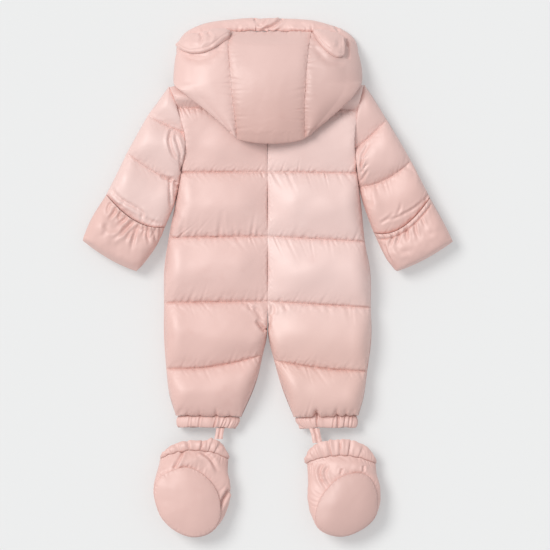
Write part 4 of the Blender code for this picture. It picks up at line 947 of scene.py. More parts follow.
# ---- fold-over mitten flaps: thin cloth gathered on an elastic, over the end of the sleeve
flapFolds = {
    "left": [
        ([(-215, 94), (-226, 84), (-240, 71), (-254, 62)], 3.2, 3.4, 2.2, 1.6, 0.1, 0.6),
        ([(-213, 91), (-221, 76), (-231, 60)], 2.4, 2, 1.4, 1, 0.1, 0.6),
        ([(-209, 89), (-216, 70), (-220.5, 44)], 3, 2.8, 1.2, 2.2, 0.1, 0.6),
        ([(-254.5, 123), (-259, 113), (-257, 104)], 2.2, 2, 1.2, 1, 0.1, 0.5),
        ([(-246, 115.5), (-249, 106), (-258, 95)], 2.6, 2.8, 1.6, 1.2, 0.1, 0.5),
        ([(-237.5, 109), (-241, 100), (-239, 92)], 1.9, 1.8, 1, 1, 0.1, 0.5),
        ([(-228.5, 102), (-232, 95), (-245, 86)], 2.4, 2.2, 1.3, 1.3, 0.1, 0.5),
        ([(-201, 87), (-199.5, 78), (-204, 67)], 2, 2.2, 1.2, 1.2, 0.1, 0.5),
        ([(-193, 85), (-195, 72), (-191, 54)], 2.3, 3, 1.5, 1.3, 0.1, 0.5),
        ([(-187, 84), (-185.5, 74), (-189, 64)], 1.7, 1.8, 1, 0.9, 0.1, 0.5),
        ([(-181, 83), (-183, 70), (-179, 52)], 2, 2.6, 1.2, 1.2, 0.1, 0.6),
        ([(-175, 82), (-174, 72), (-178, 64)], 1.5, 1.5, 0.7, 0.7, 0.1, 0.6),
        ([(-266, 86), (-250, 79), (-238, 82)], 4.5, 1.4, 0.9, 0.9),
        ([(-262, 92), (-262, 78), (-268, 66)], 4, 1.2, 0.6, 0.8),
    ],
    "right": [
        ([(238, 92), (240, 76), (244, 64)], 2.4, 2.4, 1.4, 1.4, 0.2, 0.6),
        ([(226, 86), (225, 74), (226, 58)], 2.8, 3.2, 1.9, 1.2, 0.2, 0.6),
        ([(214, 78), (212, 66), (207, 54)], 2.2, 2, 1.2, 1.2, 0.2, 0.6),
        ([(249, 98), (255, 84)], 2, 1.8, 1, 1, 0.2, 0.6),
        ([(203, 73), (201, 62), (195, 50)], 2.4, 2.4, 1.3, 1.3, 0.2, 0.6),
        ([(189, 55), (193, 42), (202, 24)], 1.8, 2.6, 1, 1.2, 0.1, 0.3),
        ([(206, 50), (216, 44), (230, 44)], 4.4, 1.6, 1, 1),
        ([(252, 76), (262, 72), (272, 78)], 4.4, 1.2, 0.8, 0.8),
    ],
}
for number, side in enumerate(sides):
    rows = flaps[side]
    t = np.linspace(0, 4, flaps["rows"])
    shares = np.linspace(0, 1, flaps["columns"])
    grid, width = planGrid(rows, t, shares)
    height = spline(columnOf(rows, 5), t)[:, None]
    fromOut, fromIn = edgeShape(rows, t, shares, width)
    top = height * fromOut * fromIn
    along = shares[None] * width[:, None]
    fromEdge = np.interp(t, range(5), flaps["rowsFromEdge"])[:, None] + along * 0
    grid[..., 2] = backLow + top
    edge = roundOff(np.minimum(shares, 1 - shares)[None] / 0.1)
    tip = roundOff(np.minimum((4 - t) / 1.2, 1.0))[:, None]
    plan = np.zeros_like(grid)
    plan[..., 2] = 1.0
    gathers = puckered(grid, along, fromEdge, 60 + number, reach=flaps["gatherReach"][side], up=plan,
                       **flaps["gathers"]) - grid
    grid += gathers * edge[..., None]
    grid = pressed(grid, flapFolds[side])
    grid[..., 2] += edge * tip * uneven(grid, (0.8, 32.0, 63 + number), (0.25, 12.0, 66 + number))
    if side == "right":      # stitched casing over the elastic
        casing = flaps["casing"]
        grid[..., 2] -= 2.8 * bell(fromEdge - casing["groove"], 1.4) * edge
        grid[..., 2] += 1.8 * bell(fromEdge - casing["middle"], 3.6) * edge
        onCasing = np.exp(-((fromEdge - casing["middle"]) / 5.2) ** 4)
        rng = np.random.default_rng(67)
        place = 2.0
        while place < casing["pleatsTo"]:
            off = (along - place - 0.25 * fromEdge) / rng.uniform(1.0, 1.5)
            grid[..., 2] -= rng.uniform(0.4, 1.5) * np.exp(-off ** 2) * onCasing * edge
            place += rng.uniform(3.6, 9.0)
    grid[..., 2] = np.maximum(grid[..., 2], backLow + 1.9)
    inner = underside(grid, backLow)
    inner[1:-1, 1:-1, 2] = np.maximum(grid[1:-1, 1:-1, 2] - flaps["wall"], backLow)
    piece = shell("mitten_flap_" + side, grid, inner, sleevePaintedShade)
print("mitten flaps made")

# ---- gathered elastic leg cuffs
cuffs = {
    "centreHeight": 15.5, "wall": 4.0, "around": 420, "gathers": 24, "length": 16.0,
    "profile": [(0, -3.6, -3.4), (0.8, -3, -2.6), (2.2, -2.2, -2), (5.5, -0.8, -1.2), (9, -0.6, -1), (12.5, -1.2, -1.4),
                (14.8, -2.2, -2.2), (16, -3.4, -3.2)],
    "drawnIn": {"left": 8.0, "right": 13.0},
    "creases": {"left": [(-127, 1.3), (-110.5, 1.5), (-84, 1.9), (-70, 1.6), (-57.5, 1.2)],
                "right": [(78, 2.6), (107, 1.5), (114.5, 1.2), (125, 1.7), (132.5, 1.4), (138, 1.1), (146, 1)]},
}


def flatRing(centreX, halfWidth, centreZ, halfHeight, count):
    angle = np.arange(count) / count * 2 * math.pi
    c, s = np.cos(angle), np.sin(angle)
    x = centreX + halfWidth * np.sign(c) * np.abs(c) ** 0.75
    z = centreZ + halfHeight * np.sign(s) * np.abs(s) ** 0.75
    return angle, x, z


for number, side in enumerate(sides):
    hem, long = body[side][-1], cuffs["length"]
    centreX, half = (hem[0] + hem[2]) / 2, abs(hem[0] - hem[2]) / 2
    hemY = min(hem[1], hem[3]) - 0.6
    hemSlope = (hem[3] - hem[1]) / (hem[2] - hem[0])
    rng = np.random.default_rng(70 + number)
    count = cuffs["around"]
    spots = np.sort(rng.uniform(0, 2 * math.pi, cuffs["gathers"]))
    sizes = rng.uniform(0.2, 0.7, cuffs["gathers"])
    outer, inner = [], []
    for drop, widen, raised in cuffs["profile"]:
        angle, x, z = flatRing(centreX, half + widen, cuffs["centreHeight"], cuffs["centreHeight"] + raised, count)
        wave = np.zeros(count)
        for spot, size in zip(spots, sizes):
            off = (np.mod(angle - spot + math.pi, 2 * math.pi) - math.pi) * 30
            wave -= size * bell(off, 1.3) - 0.5 * size * bell(np.abs(off) - 3.0, 1.6)
        for place, size in cuffs["creases"][side]:
            off = np.where(z > cuffs["centreHeight"], x - place + (drop - 8) * 0.12 * size, 99.0)
            wave -= size * bell(off, 1.2) - 0.4 * size * bell(np.abs(off) - 2.6, 1.4)
        slant = np.maximum(1.8 * np.cos(angle) * -outward[side], 0.0) * drop / long
        follow = np.minimum(hem[1] + hemSlope * (x - hem[0]) - 0.35, max(hem[1], hem[3])) - hemY
        follow += hemWave(x, side) * (z > cuffs["centreHeight"]) * np.clip(1 - drop / 9.0, 0, 1)
        toInside = np.clip(-outward[side] * (x - centreX) / half, 0, 1)
        x = x + outward[side] * cuffs["drawnIn"][side] * toInside * (drop / long) ** 1.5
        y = hemY + follow * (1 - drop / long) - drop - slant + 0.7 * np.sin(angle * 7 + number) * (drop / long)
        outer.append(np.stack((x + wave * np.cos(angle), y, np.maximum(z + wave * np.sin(angle), 0.0)), axis=-1))
        angle, x, z = flatRing(centreX, half + widen - cuffs["wall"] - 1.6, cuffs["centreHeight"],
                               cuffs["centreHeight"] + raised - cuffs["wall"] - 1.0, count)
        inner.append(np.stack((x, y, z), axis=-1))
    piece = tube("leg_cuff_" + side, outer + [inner[-1], inner[3], inner[0]], satin)
print("leg cuffs made")

# ---- hood
hoodFolds = {
    "hood_centre": [],
    "hood_side_left": [
        ([(-141, 366), (-120, 358), (-96, 360), (-70, 380)], 7, 2.6, 0.4, 0.4, 0.2, 0.2)],
    "hood_side_right": [
        ([(72, 380), (84, 366), (100, 352), (126, 349)], 6, 2.4, 0.4, 0.4, 0.2, 0.2),
        ([(129, 388), (129.8, 374), (130, 355)], 2.4, 5.5, 0.2, 0.8, 0.2, 0.15)],
}
hoodGathers = {
    "seam": {"spacing": 7.0, "depth": 1.0, "reach": 11.0, "width": 1.5, "slant": 0.2},
    "rim": {"spacing": 6.5, "depth": 0.6, "reach": 6.0, "width": 1.5, "slant": 0.2},
}
# the centre's rows on the back, up to the neck: y, share of the width, height
hoodEnd = [(255.0, 0.95, hood["onBack"] + hood["standsOff"] - 3.5), (275.0, 0.9, hood["onBack"]),
           (hood["neckY"], 0.86, hood["onBack"])]
hoodCloth = {"hood_centre": hoodPaintedShade, "hood_side_left": satin, "hood_side_right": hoodSidePaintedShade}


def rimWave(x):      # the seam between hood and rim is drawn up unevenly by its gathers
    return 0.9 * np.sin(x / 2.6 + 1.1 * np.sin(x / 9.0)) * (0.6 + 0.4 * np.sin(x / 17.0 + 1.0)) + 0.45 * np.sin(x / 6.1)


for number, name in enumerate(("hood_centre", "hood_side_left", "hood_side_right")):
    part = paddedParts[name]
    (grid, t, shares), inner = refined(part), finer(part["inner"])
    along = grid[..., 1]
    width = np.abs(grid[:, -1, 0] - grid[:, 0, 0])[:, None]
    fromSeam = shares[None] * width
    if name == "hood_centre":
        grid = puckered(grid, along, fromSeam, 80, **hoodGathers["seam"])
        grid = puckered(grid, along, width - fromSeam, 81, **hoodGathers["seam"])
    else:
        grid = puckered(grid, along, fromSeam, 82 + number, **hoodGathers["seam"])
    calm = np.minimum(1, t * 3)[:, None]      # the seam is a soft ditch between the panels
    grid[..., 2] -= calm * 2.6 * np.exp(-(fromSeam / 5.5) ** 1.4)
    if name == "hood_centre":
        grid[..., 2] -= calm * 2.6 * np.exp(-((width - fromSeam) / 5.5) ** 1.4)
    inner[..., 2] = np.minimum(inner[..., 2], grid[..., 2] - 2.0)
    fromRim = np.maximum(grid[:1, :, 1] - grid[..., 1], 0)
    grid = puckered(grid, grid[..., 0], fromRim + 1.0, 86 + number, **hoodGathers["rim"])
    grid = pressed(grid, hoodFolds[name])
    calm = roundOff(np.minimum(shares, 1 - shares)[None] / 0.12) * np.minimum(1, t * 2)[:, None]
    grid[..., 2] += calm * uneven(grid, (0.9, 75.0, 90 + number), (0.08, 18.0, 93 + number))
    atRim = np.exp(-(t * 5) ** 2)[:, None]
    grid[..., 1] += rimWave(grid[..., 0]) * atRim
    inner[..., 1] += rimWave(inner[..., 0]) * atRim
    # the end turns under in one soft curve, and the centre lies on the back up to the neck seam
    edge = hood["onBack"] + hood["standsOff"]
    nearEnd = np.clip(t - 5.5, 0, 1)[:, None]
    highest = np.maximum(grid[..., 2] - 1.6, inner[..., 2])
    inner[..., 2] += nearEnd * (np.clip(edge + 1.0, inner[..., 2], highest) - inner[..., 2])
    start, startIn = grid[-1], inner[-1]
    if name == "hood_centre":
        reach = (start[:, 1] - hood["endY"]) * (0.36 + 0.64 * np.sin(math.pi * shares) ** 0.6)
    else:
        reach = 4.6 * (1 - shares) ** 0.7 + 0.6
    slope = np.clip((grid[-5, :, 2] - grid[-1, :, 2]) / np.maximum(grid[-5, :, 1] - grid[-1, :, 1], 1.0), 0.0, 0.6)
    pull = reach / 0.75
    outerRows, innerRows = [grid], [inner]
    for f in np.linspace(0, 1, 23)[1:]:
        g = 1 - f
        row, low = start.copy(), startIn.copy()
        row[:, 1] = start[:, 1] - 3 * pull * (g * g * f + g * f * f)
        row[:, 2] = start[:, 2] * g ** 3 + (start[:, 2] - slope * pull) * 3 * g * g * f
        row[:, 2] += edge * (3 * g * f * f + f ** 3)
        row[:, 2] = np.maximum(row[:, 2], edge)
        thickness = np.minimum(hood["wall"], 0.42 * np.maximum(start[:, 2] - edge, 0.8))
        low[:, 1] = row[:, 1] + thickness * (0.2 + 0.9 * np.sin(math.pi * f))
        bottom = edge + thickness
        low[:, 2] = startIn[:, 2] + (np.minimum(bottom, startIn[:, 2]) - startIn[:, 2]) * (f * f * (3 - 2 * f))
        outerRows.append(row[None])
        innerRows.append(low[None])
    if name == "hood_centre":
        for y, narrow, z in hoodEnd:
            row = outerRows[-1][0].copy()
            middle = (start[0, 0] + start[-1, 0]) / 2
            row[:, 0] = middle + (start[:, 0] - middle) * narrow
            row[:, 1] = y
            row[:, 2] = z
            low = row.copy()
            low[:, 2] += np.minimum(hood["wall"], thickness)
            outerRows.append(row[None])
            innerRows.append(low[None])
    grid, inner = np.concatenate(outerRows), np.concatenate(innerRows)
    piece = shell(name, grid, inner, hoodCloth[name])
    part["finished"], part["topRows"] = grid, len(part["t"]) * 2 - 1
print("hood made")

# ---- padded band round the face opening
rim = {
    "points": [      # x, y, width, height
        (-144.6, 323.4, 18, 19.7), (-147.2, 346, 18, 19.7), (-147.6, 362, 18, 19.7), (-146.6, 377, 18, 19.7),
        (-136.2, 395, 18, 19.7), (-117.9, 406.8, 18, 19.7), (-91.9, 414.9, 18.5, 19.7), (-53.1, 419.7, 20, 19.7),
        (-22, 421.7, 21, 19.7), (-13, 420.6, 20, 18.8), (2, 421.6, 21, 19.7), (22.4, 421, 21, 18),
        (52.2, 419.6, 20, 19.7), (81.4, 416, 18.5, 19.7), (117, 405, 18, 19.7), (137.5, 391.4, 18, 19.7),
        (145.2, 376.8, 18, 19.7), (147.8, 352, 18, 19.7), (148.6, 323.4, 18, 19.7)],
    "section": [(1, 0), (0.5, 0), (0.16, 0), (0.04, 0.10), (0, 0.30), (0.02, 0.50), (0.09, 0.68), (0.20, 0.82),
                (0.35, 0.94), (0.52, 1.02), (0.68, 1.06), (0.82, 1.05), (0.93, 1.00), (1, 0.93)],
    "high": 22.5, "fullHeight": 19.7, "lower": 0.98,
    "gathers": {"spacing": 9.0, "depth": 1.6, "reach": 7.0, "width": 1.9, "slant": 0.5},
    "folds": [
        ([(-21.5, 425), (-20, 419), (-17, 414.5)], 2.6, 4.5, 0.5, 0.8, 0.02, 0.8),
        ([(-17.5, 411.5), (-9, 410.5), (1, 421)], 2.2, 1.6, 0.4, 1.4, 0.3, 0.2),
        ([(-8, 402.5), (4, 406), (14, 412), (25, 422)], 3, 4.4, 2.6, 0.4, 0.25, 0.05),
        ([(108, 412), (112, 405), (117, 399)], 2.4, 3.2, 1.2, 1, 0.1, 0.3),
        ([(-110, 403), (-88, 409), (-60, 412)], 4, 1, 0.5, 0.5),
        ([(-52, 408), (-38, 412), (-27, 411)], 3.6, 1.2, 0.6, 0.6),
        ([(34, 413), (60, 410), (88, 406)], 4, 1.2, 0.6, 0.6)],
    "loops": 460, "around": 34,
}
rimT = np.linspace(0, len(rim["points"]) - 1, rim["loops"])
x, y, width, height = (spline(columnOf(rim["points"], k), rimT) for k in range(4))
dx, dy = np.gradient(x), np.gradient(y)
length = np.hypot(dx, dy)
inX, inY = dy / length, -dx / length
flip = np.where(inX * (0 - x) + inY * (340 - y) < 0, -1, 1)
inX, inY = inX * flip, inY * flip
k = np.concatenate(([0, 1], np.linspace(2, len(rim["section"]) - 1, rim["around"] - 2)))
across, level = spline(columnOf(rim["section"], 0), k), np.maximum(spline(columnOf(rim["section"], 1), k), 0.0)
lift = np.minimum(height, rim["fullHeight"]) / rim["fullHeight"] * rim["high"]
top = np.stack((
    x[:, None] + inX[:, None] * width[:, None] * across, y[:, None] + inY[:, None] * width[:, None] * across,
    lift[:, None] * level * rim["lower"]), axis=-1)
along = np.concatenate(([0], np.cumsum(np.hypot(np.diff(x), np.diff(y)))))[:, None] + np.zeros((1, len(across)))
fromLower = (1 - across)[None] * width[:, None]
up = np.zeros_like(top)
up[..., 2] = 1.0
raised = (level > 0.3)[None, :, None]
top[..., 1] += rimWave(x)[:, None] * np.clip((across - 0.5) * 2, 0, 1)[None]
top += (puckered(top, along, fromLower, 95, up=up, **rim["gathers"]) - top) * raised
top += (pressed(top, rim["folds"]) - top) * raised * (0.15 + 0.85 * np.clip(fromLower / 4.5, 0, 1))[..., None]
top[..., 2] += raised[..., 0] * uneven(top, (0.7, 34.0, 97), (0.2, 12.0, 98))
top[..., 2] = np.maximum(top[..., 2], 0.0)
top[:, :3, 2] = 0.0
piece = ended("hood_rim", top, satin)
print("hood rim made")

# ---- ears: padded flaps over the hood's corners, drawn by their sewn edge and their free edge
ears = {
    "left": {
        "sewn": [(-60, 399), (-72, 399.5), (-84, 399), (-96, 397), (-108, 394), (-120, 391), (-132, 386.5),
                 (-142.5, 379)],
        "free": [(-62.5, 395.5), (-65.5, 387), (-84.5, 374.5), (-101, 366.4), (-117.5, 364), (-131, 366),
                 (-141, 370.5), (-145.6, 376)],
        "folds": [([(-110.5, 397), (-106.5, 391), (-109, 382), (-116, 377)], 3, 2.8, 0.7, 1, 0.05, 0.7),
                  ([(-97, 398.5), (-92, 392), (-96, 385)], 2.8, 1.8, 0.8, 0.6, 0.05, 0.6),
                  ([(-136, 379), (-122, 374.5), (-104, 375), (-88, 381), (-74, 391)], 4.2, 1.5, 0.8, 0.6)],
        "closed": (1, 1)},
    "right": {
        "sewn": [(73.5, 399.5), (81, 398.5), (90, 397), (99, 395), (107, 392.5), (114, 390.5), (120.5, 388)],
        "free": [(75, 394), (79, 386.5), (88.5, 374.5), (98, 365.5), (106, 360), (113, 357.5), (121.5, 359)],
        "folds": [([(80, 396), (88, 388), (96, 375), (104, 368)], 4.4, 1.5, 0.8, 0.6),
                  ([(112, 390), (116, 382), (113, 372)], 3.8, 1.4, 0.8, 0.8)],
        "closed": (1, 0.25)},
    "padding": 8.5, "clearance": 0.8, "rows": 44, "columns": 92,
}


def onPanel(points, grid):      # height and upward direction of a finished panel below plan points
    flat, up = grid.reshape(-1, 3), normalsOf(grid).reshape(-1, 3)
    found = np.zeros(points.shape[:1] + (4,))
    for first in range(0, len(points), 400):
        near = points[first:first + 400]
        away = ((near[:, None] - flat[None, :, :2]) ** 2).sum(axis=2)
        best = np.argpartition(away, 8, axis=1)[:, :8]
        weight = 1 / (np.take_along_axis(away, best, axis=1) + 0.4)
        weight /= weight.sum(axis=1, keepdims=True)
        found[first:first + 400, 0] = (flat[best, 2] * weight).sum(axis=1)
        found[first:first + 400, 1:] = (up[best] * weight[..., None]).sum(axis=1)
    return found


for number, side in enumerate(sides):
    ear = ears[side]
    part = paddedParts["hood_side_" + side]
    count = ears["columns"]
    k = np.linspace(0, len(ear["sewn"]) - 1, count)
    sewn, free = (
        np.stack([spline(columnOf(ear[edge], c), k) for c in (0, 1)], axis=-1) for edge in ("sewn", "free"))
    share = crowded(ears["rows"], 0.6)
    plan = sewn[:, None] + (free - sewn)[:, None] * share[None, :, None]
    found = onPanel(plan.reshape(-1, 2), part["finished"][:part["topRows"]]).reshape(plan.shape[:2] + (4,))
    up = found[..., 1:]
    up = up / np.linalg.norm(up, axis=2, keepdims=True)
    up[..., 2] = np.maximum(up[..., 2], 0.3)
    place = k / k[-1]
    end = np.maximum(roundOff(place / 0.3), 1 - ear["closed"][0])
    end = end * np.maximum(roundOff((1 - place) / 0.3), 1 - ear["closed"][1])
    plump = roundOff((1 - share) / 0.4)[None] * roundOff(0.25 + share * 1.2)[None]
    thick = 2.0 + ears["padding"] * end[:, None] * plump
    low = np.concatenate((plan, found[..., :1]), axis=2) + up * ears["clearance"]
    top = pressed(low + up * thick[..., None], ear["folds"])
    fromEdge = (1 - share)[None] * np.linalg.norm(free - sewn, axis=1)[:, None]
    top[..., 2] -= bell(fromEdge - 3.6, 0.9) * end[:, None]
    top[..., 2] += uneven(top, (0.7, 24.0, 118 + number), (0.25, 10.0, 120 + number)) * end[:, None]
    piece = shell("ear_" + side, top, low, satin)
print("ears made")

# ---- booties: the sole lies on top, its outline is every 30 degrees from the right side round by the heel
booties = {
    "left": {
        "ankle": (-119, -294, 55, 14), "cuff": (-116.5, -287.5, 51, 22),
        "outline": [(-75.5, -368, 17), (-83, -340.8, 22), (-103.3, -317.4, 12), (-130.8, -305.2, 4),
                    (-160, -312.5, 3), (-179.4, -325.5, 3), (-184.3, -350.6, 1), (-172.9, -386.2, 1),
                    (-150.3, -408.9, 1), (-121.9, -419.4, 1), (-95.2, -413.7, 2), (-78.2, -394.3, 8)],
        "cuffFolds": [(-160, 2.6), (-146, 2.4), (-128, 3), (-107, 3.6), (-92, 2.4), (-82, 3)],
        "raised": (-83, 15, 6.5), "tilt": 0.03,
        "upperFolds": [
            ([(-61, -341), (-70, -356), (-80, -375)], 3, 6.5, 1.6, 2, 0.2, 0.15),
            ([(-137, -279), (-143, -292), (-152, -309)], 2.8, 3.6, 2, 0.6, 0.1, 0.1),
            ([(-109, -279), (-92, -292), (-80, -314)], 3.2, 3.4, 0.6, 2.2, 0.1, 0.4),
            ([(-178, -328), (-170, -318), (-163, -312)], 2.6, 1.4, 0.6, 0.6),
        ],
    },
    "right": {
        "ankle": (119.5, -301.5, 55.5, 13), "cuff": (116.8, -294.5, 56, 30),
        "outline": [(178.6, -363.5, 6), (175.4, -339.2, 8), (163.2, -319.8, 4), (141.3, -314.6, 4),
                    (112.2, -324.6, 12), (87.9, -351.4, 20), (77.4, -377.3, 12), (79.8, -401.6, 3),
                    (99.2, -415.4, 1), (126.8, -417.8, 1), (156.7, -404.8, 1), (174.6, -386.2, 2)],
        "cuffFolds": [(70, 2.4), (79.5, 2.2), (88, 2.2), (101, 4), (117.5, 3.8), (133, 3.2), (151, 2)],
        "raised": (81, 15, 0), "tilt": 0.11,
        "upperFolds": [
            ([(90, -300), (84, -312), (88, -328), (97, -340)], 2.6, 2.6, 1, 1.6),
            ([(100, -303), (93, -314), (97, -328), (102, -335)], 2.6, 1.8, 0.8, 1.4),
            ([(156, -303), (156, -314)], 2, 2.4, 0.8, 0.8, 0.2, 0.3),
            ([(121, -308), (118.5, -319)], 2, 2, 0.8, 0.8, 0.2, 0.3),
        ],
    },
    "heel": 44.0, "toe": 36.0, "ankleHeight": 17.0, "ankleHalf": 17.5, "underLean": 6.0, "wall": 7.0,
    "around": 280, "cuffAround": 420, "cuffWall": 4.0, "soleDome": 13.5,
    # share of the cuff's length, how much wider it is there
    "cuffProfile": [(0, -2.2), (0.06, -0.6), (0.16, 1), (0.3, 2.2), (0.46, 2.6), (0.62, 2), (0.78, 0.8),
                    (0.9, -0.6), (1, -2.2)],
}


def soleOutline(points, angle):
    count = len(points)
    t = np.mod(angle / (2 * math.pi) * count, count)
    i = t.astype(int)
    values = np.array(points)
    made = between(*(values[(i + k - 1) % count] for k in range(4)), (t - i)[..., None])
    return made[..., 0], made[..., 1], made[..., 2]


def soleHeight(x, y, bootie):
    xs, ys = columnOf(bootie["outline"], 0), columnOf(bootie["outline"], 1)
    level = booties["toe"] + (booties["heel"] - booties["toe"]) * (y - min(ys)) / (max(ys) - min(ys))
    return level - bootie["tilt"] * (x - (min(xs) + max(xs)) / 2)


def ankleRing(x, y, half, lean, count, halfHeight, inset=0.0, ends=0.45):      # arched over the heel
    angle, px, pz = flatRing(x, half - inset, booties["ankleHeight"], halfHeight - inset, count)
    pz = np.maximum(pz, 0.0)
    share = (pz - booties["ankleHeight"]) / halfHeight
    arch = ends + (1.08 - ends) * np.cos(np.clip((px - x) / half, -1, 1) * math.pi / 2)
    return angle, np.stack((px, y + share * np.where(share > 0, lean * arch, booties["underLean"]), pz), axis=-1)


def ringGathers(angle, seed, spacing, size, reach):      # uneven gathers round a ring; size fades with reach
    rng = np.random.default_rng(seed)
    wave = np.zeros((len(reach), len(angle)))
    spots = np.cumsum(rng.uniform(0.4, 1.7, int(2 * math.pi / spacing)) * spacing)
    for spot in spots[spots < 2 * math.pi]:
        strong, width, length = rng.uniform(0.3, 1.0), spacing * rng.uniform(0.14, 0.26), rng.uniform(0.5, 1.5)
        lean = rng.normal(0, 0.4) * spacing
        off = np.mod(angle[None] - spot - lean * reach[:, None] + math.pi, 2 * math.pi) - math.pi
        fade = bell(reach[:, None], length)
        wave -= size * strong * bell(off, width) * fade
        wave += 0.5 * size * strong * bell(np.abs(off) - 2.2 * width, width) * fade
    return wave


def ankleWave(x, side):      # puffs of the cuff push the ankle seam to and fro
    return sum(1.3 * bell(x - place, 4.0) for place, _ in booties[side]["cuffFolds"]) - 0.8


